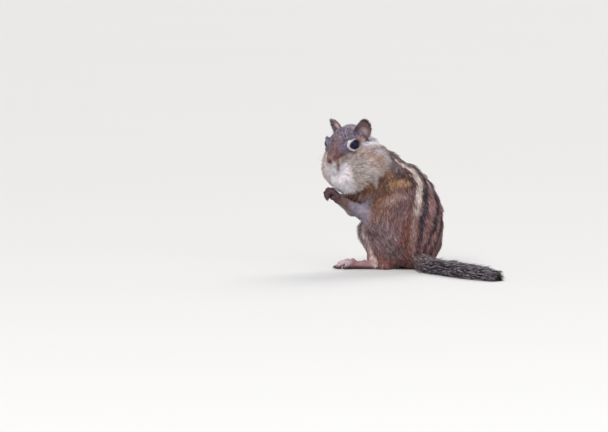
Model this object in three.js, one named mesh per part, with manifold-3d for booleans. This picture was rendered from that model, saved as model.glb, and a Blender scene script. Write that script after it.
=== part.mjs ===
// A Siberian chipmunk, life size: it sits up on its haunches with its forepaws under its chin, one cheek
// pouch full, and looks back over its left shoulder. Its tail lies on the ground behind it.
// Millimetres, +Z up. The animal's side view faces -X, its left side is towards -Y, the ground is Z = 0.
// A place on the body is written as forward, left and up in the frame of the part that it belongs to.
import * as THREE from "three";
import Module from "manifold-3d";

const wasm = await Module();
wasm.setup();

// Pieces and facets
const GAP = 0.32; // between neighbouring pieces
const TRUNK_CELL = 4.5; // size of the facets
const HEAD_CELL = 3.4;
const MUZZLE_CELL = 1.8;
const REGION_CELL = 6.7;
const REGION_MARGIN = 8; // how far a region of the body reaches beyond its own surface

// Headings, in degrees from -X towards +Y, and lift of the forward axis
const PELVIS_TURN = 40;
const BELLY_TURN = 30;
const CHEST_TURN = 13;
const NECK_TURN = -24;
const HEAD_TURN = -52;
const HEAD_PITCH = -16;

// Torso: the middle and the half sizes of each of its masses
const PELVIS_MASS = { centre: [0, 0, 23.5], radii: [23, 21, 24] };
const BELLY_MASS = { centre: [0, 0, 41], radii: [26.5, 21.5, 27] };
const CHEST_MASS = { centre: [0, 0, 58], radii: [25, 19, 22] };
const SHOULDER_MASS = { centre: [1, 0, 66], radii: [20, 17.5, 17] };

// Neck and throat: NAPE is a place on the head, the others are on the neck
const NECK_ROOT = [-8, 0, -6];
const NECK_MIDDLE = [3, 0, 3];
const NAPE = [-14, 0, -1];
const THROAT_ROOT = [12, 2, -18];
const THROAT_TOP = [17, 0, -2];
const NECK_ROOT_RADIUS = 15.2;
const NECK_RADIUS = 12.4;
const NAPE_RADIUS = 10.3;
const THROAT_ROOT_RADIUS = 10;
const THROAT_TOP_RADIUS = 9;
const NECK_CUT = -8; // where the neck leaves the torso, forward of the neck's own middle
const NECK_CUT_SLOPE = 0.5;

// How wide the fillets are where the masses flow into each other
const FILLET = {
  torso: 9,
  haunch: 7,
  pouches: 7,
  body: 6,
  neck: 6,
  skull: 4,
  arm: 4,
  trunk: 4,
  jaw: 3,
  face: 2,
  lips: 1.6,
  pair: 1,
};

// Hind leg, on the left
const THIGH_MASS = { centre: [11, 14.5, 28], radii: [20, 12, 24] };
const HIP = [12, 16, 34];
const KNEE = [24, 17, 28];
const SHIN = [18, 18, 9];
const HEEL = [10, 18, 3.6];
const FLANK_LOW = [18.3, 20.4, 38]; // on the belly: the fold of the left flank, which hides the elbow
const FLANK_HIGH = [4.1, 16.8, 54];
const HIP_RADIUS = 12;
const KNEE_RADIUS = 9;
const SHIN_RADIUS = 5.4;
const HEEL_RADIUS = 5.2;
const FLANK_RADIUS = 8.5;

// Hind foot
const FOOT_PLACE = { left: [-14, -5, 0], right: [8.5, 22, 0] }; // the heels, on the ground
const FOOT_TURN = { left: 6, right: 50 };
const FOOT_LENGTH = 26; // heel to the roots of the toes
const HEEL_HALF_WIDTH = 3.4;
const FOOT_HALF_WIDTH = 4.6;
const HEEL_HALF_HEIGHT = 3.8;
const FOOT_HALF_HEIGHT = 2.8;
const TOE_LENGTH = [7, 9.5, 10.5, 9.5, 6.5];
const TOE_RADIUS = 1.8;
const TOE_ARC = 0.9; // how far each next toe begins behind the middle one
const KNUCKLE_HEIGHT = 6.8;
const CLAW_LENGTH = 3;
const CLAW_START = 0.8; // where a toe's claw begins, as a share of the toe

// Arm
const SHOULDER = [-1, 13, 66];
const UPPER_ARM = [6, 15, 60];
const ELBOW = { left: [-27, -9.5, 44.5], right: [-26, 12, 50.5] };
const WRIST = { left: [-46, -18, 53.5], right: [-46.5, -4.5, 54] };
const SHOULDER_RADIUS = 9;
const UPPER_ARM_RADIUS = 8.5;
const ELBOW_RADIUS = 6.3;
const FOREARM_RADIUS = 6.2;
const FOREARM_SAG = 1.6;

// Forepaw
const PAW_TURN = 14; // the paws point towards each other
const PAW_LIFT = 36;
const PALM = { centre: [3, 0, 0], radii: [5.4, 3.9, 3.1] };
const DIGITS = 4;
const DIGIT_SPACING = 1.9;
const DIGIT_RADIUS = 1.4;
const DIGIT_CURL = [[4, 0, 0.8], [8, 0, 1.6], [10.4, 0, -0.4], [10, -0.8, -3.2], [8, -1.4, -5]];

// Head: its frame stands between the eyes, a little ahead of them
const BRAINCASE = { centre: [-9, 0, 0.8], radii: [17, 12.5, 10] };
const CHEEK = [-2, 0, -3];
const NOSE = [12.5, 0, -7.6];
const BROW = [-6, 0, 1.5];
const BRIDGE = [9, 0, -4.4];
const JAW_ROOT = [-4, 0, -13];
const CHIN = [10.4, 0, -14.6];
const JAW_ANGLE = [-8, 4, -14];
const CHEEK_RADIUS = 9.4;
const NOSE_RADIUS = 3.8;
const JAW_ROOT_RADIUS = 8;
const CHIN_RADIUS = 2.9;
const JAW_ANGLE_RADIUS = 9;
const LIP = { centre: [11.6, 2.7, -10], radii: [4.6, 3, 3.1] };
const NOSE_PAD = { centre: [16, 0, -7.4], radii: [1.9, 2.1, 1.7] };
const FULL_POUCH = { centre: [-9, 15.5, -22], radii: [18.5, 13.5, 18] };
const SLACK_POUCH = { centre: [-6, -12, -20], radii: [13.5, 9.5, 15.5] };
const POUCH_BRIDGE = { centre: [3, 2, -26], radii: [11, 11, 11] }; // what bulges below the chin
const MUZZLE_START = 5.5;
const MUZZLE_HALF_WIDTH = 9.5;
const MUZZLE_FLOOR = -20.5;

// Mouth and nose
const MOUTH_CORNER = [5, 7, -14.6];
const MOUTH_SIDE = [10, 6.4, -13.4];
const MOUTH_TURN = [15, 2.8, -12.3];
const MOUTH_FRONT = [15.8, 0, -12];
const MOUTH_DEPTH = 1.9;
const MOUTH_HALF_OPEN = 0.3;
const NOSTRIL_PATH = [[18.4, 1, -7.2], [16.4, 1.1, -7], [15.6, 1.6, -6.6]];
const NOSTRIL_RADIUS = 0.5;
const CLEFT_PATH = [[18.6, 0, -8.4], [16.6, 0, -10.4], [16.4, 0, -12.2]];
const CLEFT_DEPTH = 0.9;
const CLEFT_HALF_WIDTH = 0.25;

// Eyes
const EYE_RADIUS = 4.4;
const EYE_PLACE = [-1.8, 10.8, 0];
const EYE_LOOK = [0.35, 0.9, 0.15];
const MOUND_RADIUS = 5.7; // of the rise that carries an eye's lids
const MOUND_SUNK = 2; // from the middle of an eye back to the middle of its mound
const LID_FORWARD = 2.4; // from the middle of an eye to the plane of its lids
const LID_RING = 3.8;
const LID_THICKNESS = 0.65;
const LID_STRETCH = 1.12; // an eye's opening is wider than it is high
const LID_BEND = 0.06;

// Ears
const EAR_POSE = {
  left: { middle: [-13.2, 12.3, 6], up: [-0.3, 0.22, 0.93], face: [0.62, 0.78, 0.05] },
  right: { middle: [-12, -11.5, 6.5], up: [0.02, -0.34, 0.94], face: [0.46, -0.88, -0.1] },
};
const EAR_LENGTH = 18.5;
const EAR_WIDTH = 13;
const EAR_DEPTH = 3;
const EAR_RIM = 1.1;
const EAR_CUP = 1.8; // how far the cup's surface lies in front of the ear's own
const EAR_BEND_BACK = 0.012;
const EAR_BEND_ACROSS = 0.02;

// Tail: a slim core, and rows of long flat locks
const TAIL_PATH = [[11, 0, 15], [15, -12, 9], [22, -27, 3.6], [34, -46, 3], [47, -65, 3], [60, -82, 3]];
const TAIL_JOINTS = [48, 78]; // along the tail to where it is divided
const TAIL_BARE = 14; // along the tail to its first row of locks, inside the rump
const CORE_HALF_WIDTH = 5.2;
const CORE_HALF_HEIGHT = 3.3;
const CORE_BLUNTNESS = 5; // how late the core narrows towards its end
const LOCK_LENGTH = 20;
const LOCK_HALF_WIDTH = 3.8;
const LOCK_HALF_THICKNESS = 0.75;
const LOCK_SUNK = 1.6; // how deep a lock's root lies in the core
const LOCK_LIFT = 0.38; // slope of a lock away from the tail at its root
const LOCK_BEND = 0.12; // how much of that slope it loses towards its tip
const LOCK_SPREAD = 1.6; // how much further locks stand out sideways than upwards
const LOCK_SWAY = 0.3; // how far a lock may turn about the tail on its way, in radians
const LOCK_JITTER = 1.5; // how far a root may lie behind its row
const ROW_STEP = 10;
const LOCKS_IN_ROW = 6;
const REACH_DOWN = 0.3; // how far below the tail's sides the locks grow, in radians

const ORIGIN = new THREE.Vector3(0, 0, 0);
const UP = new THREE.Vector3(0, 0, 1);
const SIDES = ["left", "right"];

// A place given for the left side of the body, on either side
const onSide = (side, [f, l, u]) => [f, side === "left" ? l : -l, u];

// Forward, left and up axes at a point of the body.
class BodyFrame {
  constructor(at, turn, lift = 0) {
    const yaw = THREE.MathUtils.degToRad(turn);
    const pitch = THREE.MathUtils.degToRad(lift);
    this.at = new THREE.Vector3(...at);
    this.forward = new THREE.Vector3(
      -Math.cos(yaw) * Math.cos(pitch),
      Math.sin(yaw) * Math.cos(pitch),
      Math.sin(pitch),
    );
    this.left = new THREE.Vector3(-Math.sin(yaw), -Math.cos(yaw), 0);
    this.up = new THREE.Vector3().crossVectors(this.forward, this.left);
  }

  direction(f, l, u) {
    return new THREE.Vector3()
      .addScaledVector(this.forward, f)
      .addScaledVector(this.left, l)
      .addScaledVector(this.up, u);
  }

  point(f, l, u) {
    return this.direction(f, l, u).add(this.at);
  }
}

const pelvis = new BodyFrame([8.5, 2, 0], PELVIS_TURN);
const belly = new BodyFrame([6, 1.5, 0], BELLY_TURN);
const chest = new BodyFrame([-2.5, 0, 0], CHEST_TURN);
const shoulders = new BodyFrame([-9, -0.5, 0], CHEST_TURN);
const neck = new BodyFrame([-22, -1.5, 82], NECK_TURN);
const head = new BodyFrame([-45.5, -15, 95.1], HEAD_TURN, HEAD_PITCH);

// Distance fields: a field takes x, y, z and gives a distance, negative inside.

function ellipsoid(frame, { centre, radii }) {
  const c = frame.point(...centre);
  const { forward: f, left: l, up: u } = frame;
  const [rf, rl, ru] = radii;
  return (x, y, z) => {
    const dx = x - c.x;
    const dy = y - c.y;
    const dz = z - c.z;
    const a = (dx * f.x + dy * f.y + dz * f.z) / rf;
    const b = (dx * l.x + dy * l.y + dz * l.z) / rl;
    const e = (dx * u.x + dy * u.y + dz * u.z) / ru;
    const inside = Math.hypot(a, b, e);
    const slope = Math.hypot(a / rf, b / rl, e / ru);
    return slope < 1e-9 ? -Math.min(rf, rl, ru) : (inside * (inside - 1)) / slope;
  };
}

// A limb with round ends that tapers from one point to another.
function bone(from, to, fromRadius, toRadius) {
  const axis = new THREE.Vector3().subVectors(to, from);
  const lengthSquared = axis.lengthSq();
  return (x, y, z) => {
    const dx = x - from.x;
    const dy = y - from.y;
    const dz = z - from.z;
    const along = (dx * axis.x + dy * axis.y + dz * axis.z) / lengthSquared;
    const t = Math.min(1, Math.max(0, along));
    const away = Math.hypot(dx - t * axis.x, dy - t * axis.y, dz - t * axis.z);
    return away - (fromRadius + t * (toRadius - fromRadius));
  };
}

// Joins fields with a fillet about as wide as softness.
function blend(softness, ...fields) {
  return (x, y, z) => {
    let d = fields[0](x, y, z);
    for (let i = 1; i < fields.length; i += 1) {
      const other = fields[i](x, y, z);
      const near = Math.max(softness - Math.abs(d - other), 0) / softness;
      d = Math.min(d, other) - (near * near * softness) / 4;
    }
    return d;
  };
}

const least = (...fields) => (x, y, z) => Math.min(...fields.map((field) => field(x, y, z)));

// Where the first field is deeper than the other: the two meet half way into their overlap.
const deeperIn = (mine, other) => (x, y, z) => {
  const own = mine(x, y, z);
  return Math.max((own - other(x, y, z)) / 2, own - REGION_MARGIN);
};

function slopeAt(field, p) {
  const h = 0.05;
  return new THREE.Vector3(
    field(p.x + h, p.y, p.z) - field(p.x - h, p.y, p.z),
    field(p.x, p.y + h, p.z) - field(p.x, p.y - h, p.z),
    field(p.x, p.y, p.z + h) - field(p.x, p.y, p.z - h),
  ).divideScalar(2 * h);
}

// Moves p along the field's slope until its distance is level.
function settle(field, p, level, reach) {
  for (let step = 0; step < 3; step += 1) {
    const slope = slopeAt(field, p);
    const move = (level - field(p.x, p.y, p.z)) / Math.max(slope.lengthSq(), 0.1);
    p.addScaledVector(slope, THREE.MathUtils.clamp(move, -reach, reach));
  }
  return p;
}

// Solids

function solidFrom(points, triangles) {
  const vertProperties = new Float32Array(points.flatMap((p) => [p.x, p.y, p.z]));
  return new wasm.Manifold(
    new wasm.Mesh({ numProp: 3, vertProperties, triVerts: new Uint32Array(triangles) }),
  );
}

// The same solid whichever way round its triangles are given
function facingOut(points, triangles) {
  const made = solidFrom(points, triangles);
  return made.volume() < 0 ? solidFrom(points, triangles.reverse()) : made;
}

// The corners, edges and faces of a cell of the grid
const CORNERS = [0, 1, 2, 3, 4, 5, 6, 7].map((c) => [c & 1, (c >> 1) & 1, (c >> 2) & 1]);
const EDGES = CORNERS.flatMap((corner, from) =>
  [0, 1, 2].filter((axis) => !corner[axis]).map((axis) => ({ from, to: from | (1 << axis), axis })),
);
const FACES = [0, 1, 2].flatMap((axis) =>
  [0, 1].map((side) =>
    EDGES.map((edge, index) => ({ ...edge, index })).filter(
      ({ from, to }) => CORNERS[from][axis] === side && CORNERS[to][axis] === side,
    ),
  ),
);

// Sorts the crossed edges of a cell into loops, one for each sheet of the surface that passes through it.
function loopsOf(inside) {
  const leader = EDGES.map((edge, index) => index);
  const crossed = ({ from, to }) => inside[from] !== inside[to];
  const join = (group) => {
    const keep = leader[group[0].index];
    const drop = leader[group[1].index];
    leader.forEach((value, index) => {
      if (value === drop) leader[index] = keep;
    });
  };
  for (const face of FACES) {
    const cut = face.filter(crossed);
    if (cut.length === 2) join(cut);
    if (cut.length < 4) continue;
    for (const corner of new Set(cut.flatMap(({ from, to }) => [from, to])))
      if (inside[corner]) join(cut.filter(({ from, to }) => from === corner || to === corner));
  }
  const loops = new Map();
  EDGES.forEach((edge, index) => {
    if (!crossed(edge)) return;
    if (!loops.has(leader[index])) loops.set(leader[index], []);
    loops.get(leader[index]).push(index);
  });
  return [...loops.values()];
}

// The closed surface of a field inside a box: a vertex in each cell of a grid that it passes through. With
// an offset every vertex then moves out by it, so that two offsets of one field keep the same facets.
function skinOf(field, box, cell, offset = 0) {
  const [nx, ny, nz] = ["x", "y", "z"].map((a) => Math.ceil((box.max[a] - box.min[a]) / cell) + 2);
  const at = (i, j, k) => (k * ny + j) * nx + i;
  const place = (i, j, k) =>
    new THREE.Vector3(i - 0.5, j - 0.5, k - 0.5).multiplyScalar(cell).add(box.min);
  const value = new Float64Array(nx * ny * nz);
  for (let k = 0; k < nz; k += 1)
    for (let j = 0; j < ny; j += 1)
      for (let i = 0; i < nx; i += 1) {
        const p = place(i, j, k);
        const rim = i === 0 || j === 0 || k === 0 || i === nx - 1 || j === ny - 1 || k === nz - 1;
        value[at(i, j, k)] = rim ? cell : field(p.x, p.y, p.z);
      }
  const onField = [];
  const moved = [];
  const vertexOf = new Map();
  for (let k = 0; k < nz - 1; k += 1)
    for (let j = 0; j < ny - 1; j += 1)
      for (let i = 0; i < nx - 1; i += 1) {
        const depth = CORNERS.map(([a, b, c]) => value[at(i + a, j + b, k + c)]);
        const inside = depth.map((d) => d < 0);
        if (inside.every((v) => v === inside[0])) continue;
        for (const loop of loopsOf(inside)) {
          const p = new THREE.Vector3();
          for (const index of loop) {
            const [a, b] = [EDGES[index].from, EDGES[index].to];
            const [start, end] = [CORNERS[a], CORNERS[b]].map((c) =>
              place(i + c[0], j + c[1], k + c[2]),
            );
            p.add(start.lerp(end, depth[a] / (depth[a] - depth[b])));
            vertexOf.set(at(i, j, k) * EDGES.length + index, onField.length);
          }
          settle(field, p.divideScalar(loop.length), 0, cell / 4);
          onField.push(p);
          moved.push(offset ? settle(field, p.clone(), offset, Math.abs(offset)) : p);
        }
      }
  const triangles = [];
  const around = [[0, 0], [1, 0], [1, 1], [0, 1]];
  for (let k = 0; k < nz - 1; k += 1)
    for (let j = 0; j < ny - 1; j += 1)
      for (let i = 0; i < nx - 1; i += 1)
        for (let axis = 0; axis < 3; axis += 1) {
          const here = value[at(i, j, k)] < 0;
          const there = value[at(i, j, k) + [1, nx, nx * ny][axis]] < 0;
          if (here === there) continue;
          const quad = around.map(([a, b]) => {
            const back = [0, 0, 0];
            back[(axis + 1) % 3] = a;
            back[(axis + 2) % 3] = b;
            const from = back[0] + 2 * back[1] + 4 * back[2];
            const edge = EDGES.findIndex((e) => e.from === from && e.axis === axis);
            return vertexOf.get(at(i - back[0], j - back[1], k - back[2]) * EDGES.length + edge);
          });
          if (!here) quad.reverse();
          const [p, q, r, s] = quad.map((v) => onField[v]);
          if (p.distanceTo(r) > q.distanceTo(s)) quad.push(quad.shift());
          triangles.push(quad[0], quad[1], quad[2], quad[0], quad[2], quad[3]);
        }
  return solidFrom(moved, triangles);
}

const boxAround = (low, high) =>
  new THREE.Box3(new THREE.Vector3(...low), new THREE.Vector3(...high));

// A closed tapered tube on a smooth curve. wide and thick give its half sizes from 0 to 1 along it, and flat
// is the direction of its thickness. Where wide is 0 at the far end, the tube ends in a point.
function tube({ path, wide, thick = wide, flat = UP, sides = 8, rings = 6 }) {
  const curve = new THREE.CatmullRomCurve3(path, false, "centripetal");
  const last = wide(1) > 0 ? rings : rings - 1;
  const points = [];
  const triangles = [];
  for (let r = 0; r <= last; r += 1) {
    const t = r / rings;
    const centre = curve.getPoint(t);
    const across = new THREE.Vector3().crossVectors(curve.getTangent(t), flat).normalize();
    const out = new THREE.Vector3().crossVectors(across, curve.getTangent(t)).normalize();
    for (let s = 0; s < sides; s += 1) {
      const turn = (s / sides + 0.25) * Math.PI * 2;
      points.push(
        centre
          .clone()
          .addScaledVector(across, Math.cos(turn) * wide(t))
          .addScaledVector(out, Math.sin(turn) * thick(t)),
      );
    }
  }
  const startCap = points.push(curve.getPoint(0)) - 1;
  const endCap = points.push(curve.getPoint(1)) - 1;
  for (let s = 0; s < sides; s += 1) {
    const next = (s + 1) % sides;
    triangles.push(startCap, next, s);
    triangles.push(endCap, last * sides + s, last * sides + next);
    for (let r = 0; r < last; r += 1) {
      const [a, b] = [r * sides + s, r * sides + next];
      triangles.push(a, b, b + sides, a, b + sides, a + sides);
    }
  }
  return facingOut(points, triangles);
}

// The index pattern of a three.js geometry as a solid, with each vertex moved by place.
function solidOf(geometry, place) {
  const position = geometry.getAttribute("position");
  const index = geometry.index.array;
  const points = [];
  const seen = new Map();
  const merged = Array.from({ length: position.count }, (_, i) => {
    const p = new THREE.Vector3().fromBufferAttribute(position, i);
    const key = p.toArray().map((v) => Math.round(v * 1e4)).join();
    if (!seen.has(key)) seen.set(key, points.push(place(p)) - 1);
    return seen.get(key);
  });
  const triangles = [];
  for (let i = 0; i < index.length; i += 3) {
    const [a, b, c] = [merged[index[i]], merged[index[i + 1]], merged[index[i + 2]]];
    if (a !== b && b !== c && a !== c) triangles.push(a, b, c);
  }
  return facingOut(points, triangles);
}

// All that lies beyond a plane, on the side that its normal points to.
function beyond(point, normal) {
  const size = 600;
  const turn = new THREE.Quaternion().setFromUnitVectors(UP, normal.clone().normalize());
  return solidOf(new THREE.BoxGeometry(size, size, size), (p) => {
    p.z += size / 2;
    return p.applyQuaternion(turn).add(point);
  });
}

// The two sides of a thin planar cut: what lies along the normal first.
function cutInTwo(solid, point, normal) {
  const n = normal.clone().normalize();
  const front = point.clone().addScaledVector(n, GAP / 2);
  const back = point.clone().addScaledVector(n, -GAP / 2);
  return [
    solid.intersect(beyond(front, n)),
    solid.intersect(beyond(back, n.clone().negate())),
  ];
}

// Divides a solid into what lies in a region and the rest.
function partAt(solid, region, box) {
  return [
    largest(solid.intersect(skinOf(region, box, REGION_CELL, -GAP / 2))),
    solid.subtract(skinOf(region, box, REGION_CELL, GAP / 2)),
  ];
}

// Grows a field's surface by the gap, so that what is cut with it stays clear.
const clearOf = (field, box, cell) => skinOf(field, box, cell, GAP);

const union = (solids) => solids.reduce((a, b) => a.add(b));

function largest(solid) {
  return solid.decompose().reduce((a, b) => (b.volume() > a.volume() ? b : a));
}

// Torso, neck and limbs as fields

const torsoField = blend(
  FILLET.torso,
  ellipsoid(pelvis, PELVIS_MASS),
  ellipsoid(belly, BELLY_MASS),
  ellipsoid(chest, CHEST_MASS),
  ellipsoid(shoulders, SHOULDER_MASS),
);

const neckField = blend(
  FILLET.neck,
  bone(neck.point(...NECK_ROOT), neck.point(...NECK_MIDDLE), NECK_ROOT_RADIUS, NECK_RADIUS),
  bone(neck.point(...NECK_MIDDLE), head.point(...NAPE), NECK_RADIUS, NAPE_RADIUS),
  bone(
    neck.point(...THROAT_ROOT),
    neck.point(...THROAT_TOP),
    THROAT_ROOT_RADIUS,
    THROAT_TOP_RADIUS,
  ),
);

function haunchField(side) {
  const [hip, knee, shin, heel] = [HIP, KNEE, SHIN, HEEL].map((p) => pelvis.point(...onSide(side, p)));
  const masses = [
    ellipsoid(pelvis, { ...THIGH_MASS, centre: onSide(side, THIGH_MASS.centre) }),
    bone(hip, knee, HIP_RADIUS, KNEE_RADIUS),
    bone(knee, shin, KNEE_RADIUS, SHIN_RADIUS),
    bone(shin, heel, SHIN_RADIUS, HEEL_RADIUS),
  ];
  if (side === "left") {
    const [low, high] = [FLANK_LOW, FLANK_HIGH].map((p) => belly.point(...p));
    masses.push(bone(low, high, FLANK_RADIUS, FLANK_RADIUS));
  }
  return blend(FILLET.haunch, ...masses);
}

const elbow = (side) => new THREE.Vector3(...ELBOW[side]);
const wrist = (side) => new THREE.Vector3(...WRIST[side]);

function upperArmField(side) {
  const shoulder = shoulders.point(...onSide(side, SHOULDER));
  const middle = shoulders.point(...onSide(side, UPPER_ARM));
  return blend(
    FILLET.arm,
    bone(shoulder, middle, SHOULDER_RADIUS, UPPER_ARM_RADIUS),
    bone(middle, elbow(side), UPPER_ARM_RADIUS, ELBOW_RADIUS),
  );
}

// Head as a field

const skullField = blend(
  FILLET.skull,
  ellipsoid(head, BRAINCASE),
  bone(head.point(...CHEEK), head.point(...NOSE), CHEEK_RADIUS, NOSE_RADIUS),
  bone(head.point(...BROW), head.point(...BRIDGE), CHEEK_RADIUS, NOSE_RADIUS),
);

const jawField = blend(
  FILLET.jaw,
  bone(head.point(...JAW_ROOT), head.point(...CHIN), JAW_ROOT_RADIUS, CHIN_RADIUS),
  bone(
    head.point(...onSide("left", JAW_ANGLE)),
    head.point(...onSide("right", JAW_ANGLE)),
    JAW_ANGLE_RADIUS,
    JAW_ANGLE_RADIUS,
  ),
);

const lipField = blend(
  FILLET.lips,
  ...SIDES.map((side) => ellipsoid(head, { ...LIP, centre: onSide(side, LIP.centre) })),
  ellipsoid(head, NOSE_PAD),
);

const eyeCentre = (side) => head.point(...onSide(side, EYE_PLACE));
const eyeAxis = (side) => head.direction(...onSide(side, EYE_LOOK)).normalize();
const moundField = (side) =>
  bone(
    eyeCentre(side).addScaledVector(eyeAxis(side), -MOUND_SUNK),
    head.point(...onSide(side, BROW)),
    MOUND_RADIUS,
    MOUND_RADIUS,
  );

const faceField = blend(
  FILLET.face,
  blend(FILLET.skull, skullField, jawField),
  blend(FILLET.pair, ...SIDES.map(moundField)),
  lipField,
);
const headField = blend(
  FILLET.pouches,
  faceField,
  ellipsoid(head, FULL_POUCH),
  ellipsoid(head, SLACK_POUCH),
  ellipsoid(head, POUCH_BRIDGE),
);

// The whole trunk in one field, so that its pieces share one surface
const armsField = blend(FILLET.pair, ...SIDES.map(upperArmField));
const haunchesField = blend(FILLET.pair, ...SIDES.map(haunchField));
const bodyField = blend(FILLET.body, torsoField, haunchesField, armsField);
const trunkField = blend(FILLET.trunk, bodyField, blend(FILLET.neck, neckField, headField));

const bodyBox = boxAround([-48, -46, -6], [42, 52, 96]);
const headBox = boxAround([-70, -44, 48], [-2, 24, 118]);
const muzzleBox = boxAround([-68, -38, 64], [-37, -8, 98]);

const ground = beyond(ORIGIN, UP);
const headRegion = deeperIn(headField, least(neckField, bodyField));
const lowerBody = skinOf(trunkField, bodyBox, TRUNK_CELL)
  .intersect(ground)
  .subtract(skinOf(headRegion, headBox, REGION_CELL, GAP / 2));
const wholeHead = skinOf(trunkField, headBox, HEAD_CELL).intersect(
  skinOf(headRegion, headBox, REGION_CELL, -GAP / 2),
);

// The body's pieces

const nodes = new Map();
let rest = lowerBody;
for (const side of SIDES) {
  const armField = upperArmField(side);
  let haunch;
  let arm;
  [haunch, rest] = partAt(rest, deeperIn(haunchField(side), least(torsoField, armField)), bodyBox);
  [arm, rest] = partAt(rest, deeperIn(armField, least(torsoField, neckField)), bodyBox);
  nodes.set(`haunch_${side}`, haunch);
  nodes.set(`upper_arm_${side}`, arm);
}
const neckAxis = neck.direction(1, 0, NECK_CUT_SLOPE);
const [neckPiece, torsoPiece] = cutInTwo(rest, neck.point(NECK_CUT, 0, 0), neckAxis);
nodes.set("neck", largest(neckPiece));
nodes.set("torso", largest(torsoPiece));

// Muzzle, with the line of the mouth, the nostrils and the cleft of the lip cut into it

const fineHead = skinOf(trunkField, muzzleBox, MUZZLE_CELL);

// The space that the muzzle fills: in front of a plane, above the pouches and between them
function muzzleSpace(margin) {
  return [
    beyond(head.point(MUZZLE_START - margin, 0, 0), head.forward),
    beyond(head.point(0, 0, MUZZLE_FLOOR - margin), head.up),
    beyond(head.point(0, -MUZZLE_HALF_WIDTH - margin, 0), head.left),
    beyond(head.point(0, MUZZLE_HALF_WIDTH + margin, 0), head.left.clone().negate()),
  ].reduce((a, b) => a.intersect(b));
}

function mouthLine() {
  const half = [MOUTH_CORNER, MOUTH_SIDE, MOUTH_TURN];
  const path = [
    ...half.map((p) => onSide("left", p)),
    MOUTH_FRONT,
    ...half.toReversed().map((p) => onSide("right", p)),
  ];
  return tube({
    path: path.map((p) => head.point(...p)),
    wide: () => MOUTH_DEPTH,
    thick: () => MOUTH_HALF_OPEN,
    flat: head.up,
    sides: 4,
    rings: 12,
  });
}

function nostril(side) {
  return tube({
    path: NOSTRIL_PATH.map((p) => head.point(...onSide(side, p))),
    wide: () => NOSTRIL_RADIUS,
    flat: head.up,
    sides: 5,
    rings: 2,
  });
}

function lipCleft() {
  return tube({
    path: CLEFT_PATH.map((p) => head.point(...p)),
    wide: () => CLEFT_DEPTH,
    thick: () => CLEFT_HALF_WIDTH,
    flat: head.left,
    sides: 4,
    rings: 3,
  });
}

function muzzle() {
  const front = fineHead.intersect(muzzleSpace(-GAP / 2));
  return largest(front.subtract(union([mouthLine(), lipCleft(), ...SIDES.map(nostril)])));
}

// Eyes, and the rims of their lids

const eyeBall = (side, radius) =>
  solidOf(new THREE.SphereGeometry(radius, 12, 8), (p) => p.add(eyeCentre(side)));

function lids(side) {
  const axis = eyeAxis(side);
  const along = head.forward.clone().addScaledVector(axis, -head.forward.dot(axis)).normalize();
  const over = new THREE.Vector3().crossVectors(axis, along);
  const middle = eyeCentre(side).addScaledVector(axis, LID_FORWARD);
  return solidOf(new THREE.TorusGeometry(LID_RING, LID_THICKNESS, 5, 14), (p) =>
    middle
      .clone()
      .addScaledVector(along, p.x * LID_STRETCH)
      .addScaledVector(over, p.y)
      .addScaledVector(axis, p.z - LID_BEND * p.x * p.x),
  );
}

function headPiece() {
  const back = wholeHead.subtract(muzzleSpace(GAP / 2));
  const rims = union([back, ...SIDES.map(lids)]);
  const sockets = union(SIDES.map((side) => eyeBall(side, EYE_RADIUS + GAP)));
  return largest(rims.subtract(sockets));
}

// Ears: a flattened bowl, bent back towards its tip

function ear(side) {
  const pose = EAR_POSE[side];
  const middle = head.point(...pose.middle);
  const up = head.direction(...pose.up).normalize();
  const face = head.direction(...pose.face);
  face.addScaledVector(up, -face.dot(up)).normalize();
  const across = new THREE.Vector3().crossVectors(up, face);
  const shell = (inset, forward) =>
    solidOf(new THREE.SphereGeometry(1, 12, 8), (p) => {
      const x = p.x * (EAR_WIDTH / 2 - inset);
      const y = p.y * (EAR_LENGTH / 2 - inset);
      const z = p.z * EAR_DEPTH + forward - EAR_BEND_BACK * y * y - EAR_BEND_ACROSS * x * x;
      return middle.clone().addScaledVector(across, x).addScaledVector(up, y).addScaledVector(face, z);
    });
  return largest(
    shell(0, 0).subtract(shell(EAR_RIM, EAR_CUP)).subtract(clearOf(trunkField, headBox, HEAD_CELL)),
  );
}

nodes.set("head", headPiece());
nodes.set("muzzle", muzzle());
for (const side of SIDES) {
  nodes.set(`ear_${side}`, ear(side));
  nodes.set(`eye_${side}`, eyeBall(side, EYE_RADIUS));
}

// Forearms and forepaws

const armAxis = (side) => wrist(side).sub(elbow(side)).normalize();

function forearm(side) {
  const axis = armAxis(side);
  const middle = elbow(side).lerp(wrist(side), 0.45).addScaledVector(UP, -FOREARM_SAG);
  const bulge = (t) => 0.45 + 0.75 * Math.sin(Math.PI * (0.18 + 0.6 * t));
  const whole = tube({
    path: [elbow(side).addScaledVector(axis, -4), elbow(side), middle, wrist(side)],
    wide: (t) => FOREARM_RADIUS * bulge(t) * (1 - 0.3 * t),
    sides: 8,
    rings: 7,
  });
  const end = wrist(side).addScaledVector(axis, -GAP / 2);
  const short = whole.intersect(beyond(end, axis.clone().negate()));
  return largest(short.subtract(clearOf(trunkField, bodyBox, TRUNK_CELL)));
}

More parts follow.
